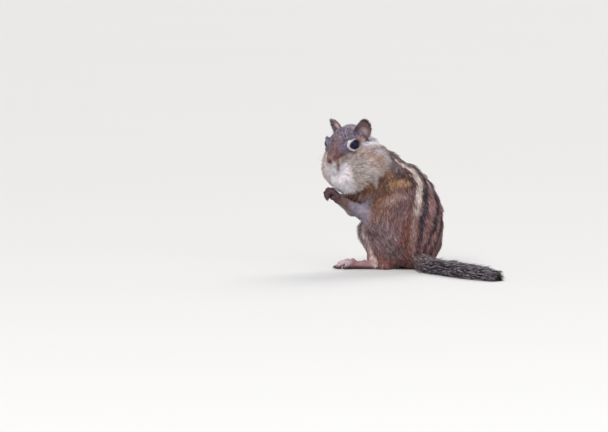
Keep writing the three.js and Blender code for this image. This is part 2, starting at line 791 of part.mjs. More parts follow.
function forepaw(side) {
  const turn = side === "left" ? -PAW_TURN : PAW_TURN;
  const paw = new BodyFrame(WRIST[side], turn, PAW_LIFT);
  const [long, wide, high] = PALM.radii;
  const palm = solidOf(new THREE.SphereGeometry(1, 8, 6), (p) =>
    paw.direction(p.z * long, p.x * wide, p.y * high).add(paw.point(...PALM.centre)),
  );
  const digits = [];
  for (let i = 0; i < DIGITS; i += 1) {
    const spread = (i - (DIGITS - 1) / 2) * DIGIT_SPACING;
    const curl = DIGIT_CURL.map((p) => onSide(side, p));
    digits.push(
      tube({
        path: curl.map(([f, l, u]) => paw.point(f, l + spread, u)),
        wide: (t) => DIGIT_RADIUS * (1 - 0.9 * t ** 3),
        sides: 5,
        rings: 4,
        flat: paw.left,
      }),
    );
  }
  const start = wrist(side).addScaledVector(armAxis(side), GAP / 2);
  return largest(union([palm, ...digits]).intersect(beyond(start, armAxis(side))));
}

for (const side of SIDES) {
  nodes.set(`forearm_${side}`, forearm(side));
  nodes.set(`forepaw_${side}`, forepaw(side));
}

// Hind feet

function toe(foot, index) {
  const place = index - 2;
  const reach = TOE_LENGTH[index];
  const start = FOOT_LENGTH - 2 - TOE_ARC * place * place;
  return tube({
    path: [
      foot.point(start - 3, place * 1.5, 2.8),
      foot.point(start + 0.25 * reach, place * 2.1, KNUCKLE_HEIGHT),
      foot.point(start + 0.7 * reach, place * 2.4, 0.8 * KNUCKLE_HEIGHT),
      foot.point(start + reach, place * 2.6, 1.4),
      foot.point(start + reach + CLAW_LENGTH, place * 2.7, 0.3),
    ],
    wide: (t) => (t < CLAW_START ? TOE_RADIUS - 0.7 * t : 2.2 * (1 - t)),
    sides: 5,
    rings: 5,
    flat: foot.left,
  });
}

function hindFoot(side) {
  const foot = new BodyFrame(FOOT_PLACE[side], FOOT_TURN[side]);
  const sole = tube({
    path: [
      foot.point(-3.5, 0, 3.4),
      foot.point(4, 0, 3.6),
      foot.point(15, 0, 2.8),
      foot.point(FOOT_LENGTH, 0, 2.6),
    ],
    wide: (t) => THREE.MathUtils.lerp(HEEL_HALF_WIDTH, FOOT_HALF_WIDTH, t),
    thick: (t) => THREE.MathUtils.lerp(HEEL_HALF_HEIGHT, FOOT_HALF_HEIGHT, t),
    sides: 8,
    rings: 4,
  });
  return largest(
    union([sole, ...TOE_LENGTH.map((length, index) => toe(foot, index))])
      .intersect(ground)
      .subtract(clearOf(trunkField, bodyBox, TRUNK_CELL)),
  );
}

for (const side of SIDES) nodes.set(`hind_foot_${side}`, hindFoot(side));

// Tail: the locks overlap towards its tip

const tailCurve = new THREE.CatmullRomCurve3(TAIL_PATH.map((p) => new THREE.Vector3(...p)));
const tailLength = tailCurve.getLength();

const coreTaper = (d) => Math.sqrt(Math.max(1.02 - (d / tailLength) ** CORE_BLUNTNESS, 0));

// A point at a distance along the tail and a height above the core's surface, turned about the tail
function onTail(distance, turn, height) {
  const d = Math.min(distance, tailLength);
  const along = tailCurve.getTangentAt(d / tailLength);
  const across = new THREE.Vector3().crossVectors(along, UP).normalize();
  const over = new THREE.Vector3().crossVectors(across, along);
  return tailCurve
    .getPointAt(d / tailLength)
    .addScaledVector(along, distance - d)
    .addScaledVector(across, Math.cos(turn) * (CORE_HALF_WIDTH * coreTaper(d) + LOCK_SPREAD * height))
    .addScaledVector(over, Math.sin(turn) * (CORE_HALF_HEIGHT * coreTaper(d) + height));
}

const outward = (distance, turn) =>
  onTail(distance, turn, 1).sub(onTail(distance, turn, 0)).normalize();

// How high a lock has risen above the core at a share of its length: it bends back along the tail.
const lockRise = (share) => LOCK_LENGTH * share * (LOCK_LIFT - LOCK_BEND * share);

function tailCore() {
  const steps = 14;
  return tube({
    path: Array.from({ length: steps + 1 }, (_, i) => tailCurve.getPointAt(i / steps)),
    wide: (t) => CORE_HALF_WIDTH * coreTaper(t * tailLength),
    thick: (t) => CORE_HALF_HEIGHT * coreTaper(t * tailLength),
    sides: 10,
    rings: steps,
  });
}

function lock(distance, turn, length, sway) {
  const at = (share) => {
    const rise = share === 0 ? -LOCK_SUNK : lockRise(share);
    return onTail(distance + share * length, turn + sway * share, rise);
  };
  return tube({
    path: [at(0), at(0.3), at(0.65), at(1)],
    wide: (t) => LOCK_HALF_WIDTH * (0.8 + 1.1 * t) * (1 - t) ** 0.7,
    thick: (t) => LOCK_HALF_THICKNESS * (1 - 0.6 * t),
    flat: outward(distance + length / 2, turn + sway / 2),
    sides: 3,
    rings: 3,
  });
}

// Seeded random numbers from 0 to 1
function randomFrom(seed) {
  let state = seed;
  return () => {
    state = (state * 1664525 + 1013904223) % 4294967296;
    return state / 4294967296;
  };
}

function tailLocks() {
  const random = randomFrom(7);
  const locks = [];
  const rows = Math.floor((tailLength - TAIL_BARE) / ROW_STEP);
  for (let row = 0; row <= rows; row += 1) {
    const count = row < rows ? LOCKS_IN_ROW : LOCKS_IN_ROW - 2;
    for (let i = 0; i < count; i += 1) {
      const share = (i + (row % 2) / 2 + 0.25) / count;
      const turn = THREE.MathUtils.lerp(-REACH_DOWN, Math.PI + REACH_DOWN, share);
      const distance = TAIL_BARE + row * ROW_STEP + random() * LOCK_JITTER;
      const length = LOCK_LENGTH * (0.86 + 0.2 * random()) * Math.min(1, 0.6 + 0.1 * row);
      locks.push(lock(distance, turn, length, (random() - 0.5) * LOCK_SWAY));
    }
  }
  return locks;
}

// What lies nearer the tip than a row of locks: its surface flares between the rows as the locks do. It
// starts from a point ahead of the row, inside the core, and ends past the tip.
function tipwardOf(distance, clearance) {
  const sides = 16;
  const ahead = 7;
  const past = 8;
  const axis = -CORE_HALF_WIDTH * coreTaper(distance);
  const rings = [
    [-ahead / 2, -CORE_HALF_HEIGHT / 2],
    ...[0, 0.3, 0.65, 1].map((share) => [share * LOCK_LENGTH, lockRise(share)]),
    [2 * LOCK_LENGTH, lockRise(1) + 3],
    [past * LOCK_LENGTH, lockRise(1) + 3 * (past - 1)],
  ].map(([along, rise]) =>
    Array.from({ length: sides }, (_, i) =>
      onTail(distance + along, (i / sides) * Math.PI * 2, rise - clearance),
    ),
  );
  const start = onTail(distance - ahead + 2 * clearance, 0, axis / LOCK_SPREAD);
  const end = onTail(distance + past * LOCK_LENGTH, 0, axis / LOCK_SPREAD);
  const points = [start, ...rings.flat(), end];
  const triangles = [];
  for (let i = 0; i < sides; i += 1) {
    const next = (i + 1) % sides;
    const last = 1 + (rings.length - 1) * sides;
    triangles.push(0, 1 + next, 1 + i);
    triangles.push(points.length - 1, last + i, last + next);
    for (let r = 0; r < rings.length - 1; r += 1) {
      const [a, b] = [1 + r * sides + i, 1 + r * sides + next];
      triangles.push(a, b, b + sides, a, b + sides, a + sides);
    }
  }
  return facingOut(points, triangles);
}

function tailPieces() {
  const whole = union([tailCore(), ...tailLocks()])
    .intersect(ground)
    .subtract(clearOf(trunkField, bodyBox, TRUNK_CELL));
  const [first, second] = TAIL_JOINTS;
  const half = GAP / 2;
  return {
    root: whole.subtract(tipwardOf(first, -half)),
    middle: whole.intersect(tipwardOf(first, half)).subtract(tipwardOf(second, -half)),
    tip: whole.intersect(tipwardOf(second, half)),
  };
}

for (const [name, piece] of Object.entries(tailPieces())) nodes.set(`tail_${name}`, largest(piece));

// Finishes

const fur = (color) => new THREE.MeshStandardMaterial({ color, roughness: 0.92, metalness: 0 });
const wet = (color) => new THREE.MeshStandardMaterial({ color, roughness: 0.12, metalness: 0 });

const FINISH_OF = [
  [/^eye/, () => wet(0x0b0d14)],
  [/^forepaw/, () => fur(0x5a4550)],
  [/^hind_foot/, () => fur(0xc2a596)],
  [/^forearm/, () => fur(0xb9b2ae)],
  [/^tail/, () => fur(0x6b625c)],
  [/^(head|muzzle)/, () => fur(0xb3a392)],
  [/^ear/, () => fur(0x87756c)],
  [/./, () => fur(0x8a6a50)],
];

const finishOf = (name) => FINISH_OF.find(([pattern]) => pattern.test(name))[1]();

// A three.js mesh of a solid
function meshOf(name, solid) {
  const { numProp, vertProperties, triVerts } = solid.getMesh();
  const geometry = new THREE.BufferGeometry();
  const position = new Float32Array((vertProperties.length / numProp) * 3);
  for (let i = 0; i < position.length; i += 1)
    position[i] = vertProperties[Math.floor(i / 3) * numProp + (i % 3)];
  geometry.setAttribute("position", new THREE.BufferAttribute(position, 3));
  geometry.setIndex(new THREE.BufferAttribute(triVerts, 1));
  geometry.computeVertexNormals();
  const mesh = new THREE.Mesh(geometry, finishOf(name));
  mesh.name = name;
  return mesh;
}

const chipmunk = new THREE.Group();
for (const [name, solid] of nodes) chipmunk.add(meshOf(name, solid));

// The origin is under the middle of the animal, on the ground.
const bounds = new THREE.Box3().setFromObject(chipmunk);
const middle = bounds.getCenter(new THREE.Vector3());
chipmunk.position.set(-middle.x, -middle.y, 0);

export default chipmunk;
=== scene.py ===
"""The looks of a life-size Siberian chipmunk: one skin, its coat, tail, ears, eyes, claws and whiskers.

Shapes are worked out in millimetres in the animal's own frame, where its left side is towards -Y and the
ground is Z = 0, and are moved into the shared frame by the place of its left eye.
"""

import bpy
import numpy as np
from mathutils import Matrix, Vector
from mathutils.bvhtree import BVHTree
from mathutils.kdtree import KDTree


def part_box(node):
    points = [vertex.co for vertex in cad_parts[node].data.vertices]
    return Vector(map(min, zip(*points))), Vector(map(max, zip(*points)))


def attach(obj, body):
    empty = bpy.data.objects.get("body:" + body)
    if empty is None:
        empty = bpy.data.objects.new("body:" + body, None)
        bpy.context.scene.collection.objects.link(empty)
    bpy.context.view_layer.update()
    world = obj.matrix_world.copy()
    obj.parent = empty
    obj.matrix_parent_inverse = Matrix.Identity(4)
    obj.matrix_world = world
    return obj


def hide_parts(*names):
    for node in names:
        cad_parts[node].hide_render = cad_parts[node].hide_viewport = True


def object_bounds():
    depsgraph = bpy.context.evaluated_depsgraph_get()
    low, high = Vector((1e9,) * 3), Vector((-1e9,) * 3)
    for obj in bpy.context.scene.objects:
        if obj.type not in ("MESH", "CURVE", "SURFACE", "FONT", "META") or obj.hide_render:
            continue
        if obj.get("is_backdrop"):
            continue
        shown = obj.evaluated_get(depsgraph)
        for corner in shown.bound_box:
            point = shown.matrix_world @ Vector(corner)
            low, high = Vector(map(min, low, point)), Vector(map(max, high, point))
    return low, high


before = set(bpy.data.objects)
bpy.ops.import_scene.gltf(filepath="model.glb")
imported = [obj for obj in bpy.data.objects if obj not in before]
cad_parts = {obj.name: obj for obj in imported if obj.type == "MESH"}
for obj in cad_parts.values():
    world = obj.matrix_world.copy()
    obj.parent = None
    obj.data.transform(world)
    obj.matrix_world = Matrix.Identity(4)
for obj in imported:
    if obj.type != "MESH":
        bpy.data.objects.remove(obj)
cad_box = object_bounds()

MM = 0.001
QUICK_SHARE = 1.0

# Headings of the parts of the body, in degrees from -X towards +Y
PELVIS_TURN = 40
BELLY_TURN = 30
CHEST_TURN = 13
NECK_TURN = -24
HEAD_TURN = -52
HEAD_PITCH = -16

# How deep the coat is over the skin
TORSO_DEPTH = 1.3
HAUNCH_DEPTH = 1.2
ARM_DEPTH = 1.0
FOREARM_DEPTH = 0.8
NECK_DEPTH = 1.3
CROWN_DEPTH = 1.9
SKULL_DEPTH = 0.8
JAW_DEPTH = 0.7
SNOUT_DEPTH = 0.3
POUCH_DEPTH = 1.2

EYE_RADIUS = 4.4
EYE_PLACE = (-1.8, 10.8, 0.0)  # of the left eye, on the head
EYE_LOOK = (0.35, 0.9, 0.15)
EYE_HALF_LENGTH = 4.0  # of the opening between the lids
UPPER_LID, LOWER_LID = 3.2, 3.3  # how far each lid's edge stands from the middle of the eye
EAR_POSE = {  # middle, way up and way of the cup of each ear, on the head
    1: ((-13.2, 12.3, 6), (-0.3, 0.22, 0.93), (0.62, 0.78, 0.05)),
    -1: ((-12, -11.5, 6.5), (0.02, -0.34, 0.94), (0.46, -0.88, -0.1)),
}
EAR_LENGTH, EAR_WIDTH = 18.5, 13.0
FOOT_LENGTH = 26
TOE_LENGTH = [7, 9.5, 10.5, 9.5, 6.5]
SIDES = {"left": 1, "right": -1}


class Axes:
    """Forward, left and up at a point of the body."""

    def __init__(self, at, turn, lift=0.0):
        yaw, pitch = np.radians(turn), np.radians(lift)
        self.at = np.array(at, float)
        self.forward = np.array(
            [-np.cos(yaw) * np.cos(pitch), np.sin(yaw) * np.cos(pitch), np.sin(pitch)]
        )
        self.left = np.array([-np.sin(yaw), -np.cos(yaw), 0.0])
        self.up = np.cross(self.forward, self.left)
        self.rows = np.array([self.forward, self.left, self.up])

    def direction(self, f, l, u):
        return np.array([f, l, u], float) @ self.rows

    def point(self, f, l, u):
        return self.at + self.direction(f, l, u)

    def local(self, p):
        return (p - self.at) @ self.rows.T


pelvis = Axes((8.5, 2, 0), PELVIS_TURN)
belly = Axes((6, 1.5, 0), BELLY_TURN)
chest = Axes((-2.5, 0, 0), CHEST_TURN)
shoulders = Axes((-9, -0.5, 0), CHEST_TURN)
neck = Axes((-22, -1.5, 82), NECK_TURN)
head = Axes((-45.5, -15, 95.1), HEAD_TURN, HEAD_PITCH)


def on_side(side, place):
    return place[0], side * place[1], place[2]


def unit(v):
    return v / np.maximum(np.linalg.norm(v, axis=-1, keepdims=True), 1e-9)


def eye_centre(side):
    return head.point(*on_side(side, EYE_PLACE))


def eye_axes(side):
    """The eye's ways: out, along its opening towards the nose, and up across it."""
    out = unit(head.direction(*on_side(side, EYE_LOOK)))
    ahead = unit(head.forward - (head.forward @ out) * out)
    return out, ahead, np.cross(ahead, out) * side


def on_eye(side, ahead, over, lift=0.0):
    """A point over the eyeball's surface, at distances from the eye's own axis."""
    out, forwards, upwards = eye_axes(side)
    rise = np.sqrt(np.maximum((EYE_RADIUS + lift) ** 2 - ahead**2 - over**2, 0))
    parts = (rise, out), (ahead, forwards), (over, upwards)
    return eye_centre(side) + sum(np.multiply.outer(size, way) for size, way in parts)


low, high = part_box("eye_left")
SHIFT = np.array((low + high) / 2) / MM - eye_centre(1)


# Distance fields: a field takes an (n, 3) array of points and gives n distances, negative inside.


def ellipsoid(axes, centre, radii, depth=0.0):
    middle, r = axes.point(*centre), np.array(radii, float)

    def field(p):
        q = (p - middle) @ axes.rows.T / r
        inside = np.sqrt((q * q).sum(1))
        slope = np.sqrt(((q / r) ** 2).sum(1))
        return inside * (inside - 1) / np.maximum(slope, 1e-9) + depth

    return field


def bone(start, end, start_radius, end_radius):
    start, axis = np.array(start, float), np.array(end, float) - np.array(start, float)

    def field(p):
        q = p - start
        t = np.clip(q @ axis / (axis @ axis), 0, 1)
        away = np.sqrt(((q - t[:, None] * axis) ** 2).sum(1))
        return away - start_radius - t * (end_radius - start_radius)

    return field


def ball(centre, radius):
    return lambda p: np.sqrt(((p - centre) ** 2).sum(1)) - radius


def chain(points, radii, softness):
    """Bones from point to point."""
    pairs = zip(points[:-1], points[1:], radii[:-1], radii[1:])
    return blend(softness, *[bone(*pair) for pair in pairs])


def blend(softness, *fields):
    """Joins fields with a fillet about as wide as softness."""

    def field(p):
        d = fields[0](p)
        for other in fields[1:]:
            e = other(p)
            near = np.maximum(softness - np.abs(d - e), 0) / softness
            d = np.minimum(d, e) - near * near * softness / 4
        return d

    return field


def carve(field, tool, softness):
    """Takes the tool's shape out of a field, with a soft edge."""

    def carved(p):
        d, e = field(p), -tool(p)
        near = np.maximum(softness - np.abs(d - e), 0) / softness
        return np.maximum(d, e) + near * near * softness / 4

    return carved


def local(field, lowest, highest):
    """A field that counts only inside a box."""

    def boxed(p):
        d = np.full(len(p), 50.0)
        within = np.all((p > lowest) & (p < highest), axis=1)
        d[within] = field(p[within])
        return d

    return boxed


def slope_of(field, p, h=0.08):
    steps = np.eye(3) * h
    return np.stack([(field(p + s) - field(p - s)) / (2 * h) for s in steps], axis=1)


def smooth(low, high, x):
    t = np.clip((x - low) / (high - low), 0, 1)
    return t * t * (3 - 2 * t)


def curve(points, count):
    """Points spread evenly along a smooth centripetal curve through the given ones."""
    p = np.array(points, float)
    p = np.vstack([2 * p[0] - p[1], p, 2 * p[-1] - p[-2]])
    made = []
    for i in range(1, len(p) - 2):
        p0, p1, p2, p3 = p[i - 1 : i + 3]
        d0, d1, d2 = (np.linalg.norm(b - a) ** 0.5 for a, b in ((p0, p1), (p1, p2), (p2, p3)))
        m1 = ((p1 - p0) / d0 - (p2 - p0) / (d0 + d1) + (p2 - p1) / d1) * d1
        m2 = ((p2 - p1) / d1 - (p3 - p1) / (d1 + d2) + (p3 - p2) / d2) * d1
        t = np.linspace(0, 1, 60, endpoint=False)[:, None]
        a, b = 2 * t**3 - 3 * t**2, t**3 - t**2
        made.append((a + 1) * p1 + (b - t**2 + t) * m1 - a * p2 + b * m2)
    made = np.vstack([*made, p[-2:-1]])
    run = np.append(0, np.cumsum(np.linalg.norm(np.diff(made, axis=0), axis=1)))
    want = np.linspace(0, run[-1], count)
    return np.stack([np.interp(want, run, made[:, k]) for k in range(3)], axis=1)


def waves(seed, scale, count=7):
    """Smooth seeded noise of points, about -1 to 1, with features of about the given size."""
    rng = np.random.default_rng(seed)
    push = unit(rng.normal(size=(count, 3))) * rng.uniform(0.7, 1.6, (count, 1)) * 2 * np.pi / scale
    start = rng.uniform(0, 2 * np.pi, count)
    return lambda p: np.sin(p @ push.T + start).sum(1) * (1.4 / count**0.5)


# Fields of the flesh

torso_parts = [
    (pelvis, (0, 0, 23.5), (23, 21, 24)),
    (belly, (0, 0, 41), (26.5, 21.5, 27)),
    (chest, (0, 0, 58), (25, 19, 22)),
    (shoulders, (1, 0, 66), (20, 17.5, 17)),
]


def torso(depth):
    return blend(9, *[ellipsoid(*part, depth) for part in torso_parts])


def neck_flesh(d):
    return blend(
        6,
        bone(neck.point(-8, 0, -6), neck.point(3, 0, 3), 15.2 - d, 12.4 - d),
        bone(neck.point(3, 0, 3), head.point(-14, 0, -1), 12.4 - d, 10.3 - d),
        bone(neck.point(12, 2, -18), neck.point(17, 0, -2), 10 - d, 9 - d),
    )


def haunch(side, d):
    hip, knee = pelvis.point(12, side * 16, 34), pelvis.point(24, side * 17, 28)
    shin, heel = pelvis.point(18, side * 18, 9), pelvis.point(10, side * 18, 3.6)
    masses = [
        ellipsoid(pelvis, (11, side * 14.5, 28), (20, 12, 24), d),
        bone(hip, knee, 12 - d, 9 - d),
        bone(knee, shin, 9 - d, 5.4 - d * 0.6),
        bone(shin, heel, 5.4 - d * 0.6, 5.2 - d * 0.4),
    ]
    if side == 1:  # the fold of the flank, which hides the elbow
        masses.append(bone(belly.point(18.3, 20.4, 38), belly.point(4.1, 16.8, 54), 8.5 - d, 8.5 - d))
    return blend(7, *masses)


ELBOW = {1: np.array([-27, -9.5, 44.5]), -1: np.array([-26, 12, 50.5])}
WRIST = {1: np.array([-46, -18, 53.5]), -1: np.array([-46.5, -4.5, 54])}


def upper_arm(side, d):
    shoulder, middle = shoulders.point(-1, side * 13, 66), shoulders.point(6, side * 15, 60)
    return blend(
        4,
        bone(shoulder, middle, 9 - d, 8.5 - d),
        bone(middle, ELBOW[side], 8.5 - d, 6.3 - d),
    )


def forearm(side, d):
    elbow, wrist = ELBOW[side], WRIST[side]
    middle = elbow + 0.45 * (wrist - elbow) - (0, 0, 1.6)
    return chain([elbow, middle, wrist], [6.2 - d, 5.6 - d, 3.3 - d * 0.4], 2)


def paw_axes(side):
    return Axes(WRIST[side], side * -14, 36)


def digit_path(side, i):
    paw, spread = paw_axes(side), (i - 1.5) * 1.9
    curl = [(3, 0, 0.6), (7.4, 0, 1.7), (10.2, 0, 0.2), (10.2, -0.7, -2.6), (8.6, -1.2, -4.4)]
    return [paw.point(f, spread + side * l, u) for f, l, u in curl]


def forepaw(side):
    paw = paw_axes(side)
    digits = [chain(digit_path(side, i), [1.5, 1.35, 1.3, 1.15, 0.85], 0.5) for i in range(4)]
    pads = [
        ellipsoid(paw, (5.5, side * l, -1.6), (2.1, 1.6, 1.6)) for l in (-2, 1.8)
    ]
    thumb = bone(paw.point(3, side * -3.4, -1), paw.point(6, side * -4.4, -2.2), 1.1, 0.7)
    flesh = blend(0.9, ellipsoid(paw, (3, 0, 0), (5.2, 3.8, 2.9)), *digits, *pads, thumb)
    middle = paw.point(5, 0, 0)
    return local(flesh, middle - 13, middle + 13)


foot_axes = {1: Axes((-14, -5, 0), 6), -1: Axes((8.5, 22, 0), 50)}


def toe_path(side, i):
    foot, place, reach = foot_axes[side], i - 2, TOE_LENGTH[i]
    start = FOOT_LENGTH - 2 - 0.9 * place * place
    steps = [(start - 3, 1.5, 2.8), (start + 0.25 * reach, 2.1, 5.6), (start + 0.7 * reach, 2.4, 4.2)]
    path = [foot.point(f, place * spread, u) for f, spread, u in steps]
    return [*path, foot.point(start + reach, place * 2.6, 1.5)]


def hind_foot(side):
    foot = foot_axes[side]
    rays = [
        chain([foot.point(-2, l * 0.6, 3), foot.point(12, l, 2.9), foot.point(25, l * 1.5, 2.7)],
              [2.9, 2.7, 2.5], 1.5)
        for l in (-1.3, 1.3)
    ]
    toes = [chain(toe_path(side, i), [1.7, 1.65, 1.5, 1.25], 0.7) for i in range(5)]
    tips = [ellipsoid(foot, foot.local(toe_path(side, i)[-1]) + (0, 0, -0.3), (1.7, 1.35, 1.2))
            for i in range(5)]
    flesh = blend(1.1, blend(3, *rays), *toes, *tips)
    lowest = np.minimum(foot.point(-8, -10, -1), foot.point(38, 10, 12)) - 8
    highest = np.maximum(foot.point(-8, -10, -1), foot.point(38, 10, 12)) + 8
    return local(flesh, lowest, highest)


skull = blend(
    4,
    ellipsoid(head, (-9, 0, 0.8), (17, 12.5, 10), CROWN_DEPTH),
    bone(head.point(-2, 0, -3), head.point(12.5, 0, -7.6), 9.4 - SKULL_DEPTH, 3.8 - SNOUT_DEPTH),
    bone(head.point(-6, 0, 1.5), head.point(9, 0, -4.4), 9.3 - SKULL_DEPTH, 3.9 - SNOUT_DEPTH),
)
jaw = blend(
    3,
    bone(head.point(-4, 0, -13), head.point(10.4, 0, -14.6), 8 - JAW_DEPTH, 2.9 - SNOUT_DEPTH),
    bone(head.point(-8, 4, -14), head.point(-8, -4, -14), 9 - JAW_DEPTH, 9 - JAW_DEPTH),
)
lips = blend(
    1.6,
    ellipsoid(head, (11.6, 2.7, -10), (4.6, 3, 3.1), SNOUT_DEPTH),
    ellipsoid(head, (11.6, -2.7, -10), (4.6, 3, 3.1), SNOUT_DEPTH),
)
nose_pad = ellipsoid(head, (16.2, 0, -7.4), (1.7, 1.9, 1.5))
full_pouch = ellipsoid(head, (-9, 15.5, -22), (18.5, 13.5, 18), POUCH_DEPTH)
slack_pouch = ellipsoid(head, (-6, -12, -20), (13.5, 9.5, 15.5), POUCH_DEPTH)
pouch_bridge = ellipsoid(head, (3, 2, -26), (11, 11, 11), POUCH_DEPTH)
mounds = blend(1, *[
    bone(eye_centre(s) - 2 * eye_axes(s)[0], head.point(-6, 0, 1.5), 5.6, 5.6) for s in (1, -1)
])


def lid_curve(height, count, wider=0.0):
    """Distances along and across an eye, from one corner to the other, on the edge of one of its lids."""
    t = np.linspace(-1, 1, count)
    return (EYE_HALF_LENGTH + wider) * t, (height + np.sign(height) * wider) * (1 - t * t) ** 0.6


def lid_swell(side, height):
    path = on_eye(side, *lid_curve(height, 9, wider=0.65), lift=0.3)
    return chain(path, np.array([0.5, 0.62, 0.75, 0.82, 0.85, 0.82, 0.75, 0.62, 0.5]), 0.3)


lids = blend(0.4, *[lid_swell(s, height) for s in (1, -1) for height in (UPPER_LID, -LOWER_LID)])
lids = local(lids, head.point(0, 0, 0) - 19, head.point(0, 0, 0) + 19)
face = blend(0.8, blend(2, blend(4, skull, jaw), mounds, lips), nose_pad)
head_flesh = blend(7, blend(0.9, face, lids), full_pouch, slack_pouch, pouch_bridge)

torso_flesh = torso(TORSO_DEPTH)
body_flesh = blend(
    6,
    torso_flesh,
    blend(1, haunch(1, HAUNCH_DEPTH), haunch(-1, HAUNCH_DEPTH)),
    blend(1, upper_arm(1, ARM_DEPTH), upper_arm(-1, ARM_DEPTH)),
)
trunk = blend(4, body_flesh, blend(6, neck_flesh(NECK_DEPTH), head_flesh))

# The tail's bone, on the ground
TAIL_PATH = [(11, 0, 15), (15, -12, 9), (22, -27, 3.6), (34, -46, 3), (47, -65, 3), (60, -82, 3)]
tail_line = curve(TAIL_PATH, 400)
TAIL_LENGTH = np.linalg.norm(np.diff(tail_line, axis=0), axis=1).sum()
tail_way = unit(np.gradient(tail_line, axis=0))
tail_bone = chain(tail_line[::36], np.linspace(3.6, 1.6, len(tail_line[::36])), 1)

flesh = blend(2.5, trunk, forearm(1, FOREARM_DEPTH), forearm(-1, FOREARM_DEPTH))
flesh = blend(1.2, flesh, forepaw(1), forepaw(-1))
flesh = blend(2, flesh, hind_foot(1), hind_foot(-1), tail_bone)

# Sockets, mouth, nostrils and the cleft of the lip
sockets = blend(0.1, *[ball(eye_centre(s), EYE_RADIUS + 0.05) for s in (1, -1)])
mouth_half = [(4, 7, -14.9), (10, 5.6, -13.5), (14.6, 2.6, -12.4)]
mouth_path = [*mouth_half, (15.4, 0, -12.1), *[(f, -l, u) for f, l, u in mouth_half[::-1]]]
mouth = chain([head.point(*p) for p in mouth_path], [0.35, 0.5, 0.45, 0.4, 0.45, 0.5, 0.35], 0.2)
nostrils = blend(0.1, *[
    chain([head.point(18.6, s * 0.9, -7.4), head.point(17, s * 1.0, -7.2), head.point(15.9, s * 1.7, -6.8)],
          [0.5, 0.5, 0.3], 0.2)
    for s in (1, -1)
])
cleft = chain([head.point(18, 0, -8.2), head.point(16.6, 0, -9.8), head.point(16, 0, -12)],
              [0.3, 0.35, 0.3], 0.2)
grooves = local(blend(0.2, mouth, nostrils, cleft), head.point(9, 0, -10) - 16, head.point(9, 0, -10) + 16)
flesh = carve(flesh, sockets, 0.4)
flesh = carve(flesh, grooves, 0.5)


def above_ground(p):
    return np.maximum(flesh(p), 0.25 - p[:, 2])


# Skin


def spread_of(*stretches):
    """Grid lines along one axis: each stretch is where it starts and how far apart its lines are."""
    lines = []
    for (start, step), (end, _) in zip(stretches[:-1], stretches[1:]):
        lines.append(np.linspace(start, end, max(int(round((end - start) / step)), 1), endpoint=False))
    return np.concatenate([*lines, [stretches[-1][0]]])


def surface(field, xs, ys, zs):
    """Points and quads of a field's surface, one point in each cell of the grid that it passes through."""
    block = 4
    grid = [xs, ys, zs]
    grid = [np.append(g, g[-1] + np.arange(1, (-(len(g) - 1)) % block + 1) * (g[-1] - g[-2])) for g in grid]
    shape = [len(g) for g in grid]

    def at(where, lines):
        return np.stack([lines[k][where[k]] for k in range(3)], axis=1)

    rough = [g[::block] for g in grid]
    cells = np.indices([len(g) for g in rough]).reshape(3, -1)
    depth = field(at(cells, rough)).reshape([len(g) for g in rough])
    reach = np.linalg.norm([np.diff(g).max() for g in rough]) * 1.05
    close = np.abs(depth) < reach
    near = np.zeros([n - 1 for n in close.shape], bool)
    for i in (0, 1):
        for j in (0, 1):
            for k in (0, 1):
                ends = [n - 1 for n in close.shape]
                near |= close[i : i + ends[0], j : j + ends[1], k : k + ends[2]]
    wanted = np.zeros(shape, bool)
    fine = near.repeat(block, 0).repeat(block, 1).repeat(block, 2)
    for i in (0, 1):
        for j in (0, 1):
            for k in (0, 1):
                wanted[i : i + fine.shape[0], j : j + fine.shape[1], k : k + fine.shape[2]] |= fine
    value = depth.repeat(block, 0).repeat(block, 1).repeat(block, 2)[: shape[0], : shape[1], : shape[2]]
    where = np.nonzero(wanted)
    value[where] = field(at(where, grid))

    inside = value < 0
    strides = np.array([shape[1] * shape[2], shape[2], 1])
    total, count = np.zeros((inside.size, 3)), np.zeros(inside.size, np.int32)
    quads = []
    for axis in range(3):
        a = np.moveaxis(inside, axis, 0)
        crossed = np.nonzero(np.moveaxis(a[1:] != a[:-1], 0, axis))
        here = np.array(crossed)
        there = here.copy()
        there[axis] += 1
        v, w = value[tuple(here)], value[tuple(there)]
        p = at(here, grid)
        q = at(there, grid)
        p += (v / (v - w))[:, None] * (q - p)
        flat = strides @ here
        b, c = (axis + 1) % 3, (axis + 2) % 3
        around = [flat, flat - strides[b], flat - strides[b] - strides[c], flat - strides[c]]
        for cell in around:
            for k in range(3):
                total[:, k] += np.bincount(cell, p[:, k], inside.size)
            count += np.bincount(cell, minlength=inside.size).astype(np.int32)
        quad = np.stack(around, axis=1)
        turned = v < 0
        quad[~turned] = quad[~turned][:, ::-1]
        quads.append(quad)
    used = np.nonzero(count)[0]
    number = np.zeros(inside.size, np.int64)
    number[used] = np.arange(len(used))
    points = total[used] / count[used][:, None]
    step = min(np.diff(g).min() for g in grid)
    for _ in range(3):
        slope = slope_of(field, points)
        move = -field(points)[:, None] * slope / np.maximum((slope * slope).sum(1), 0.1)[:, None]
        far = np.maximum(np.linalg.norm(move, axis=1, keepdims=True) / (0.6 * step), 1)
        points = points + move / far
    return points, number[np.concatenate(quads)]


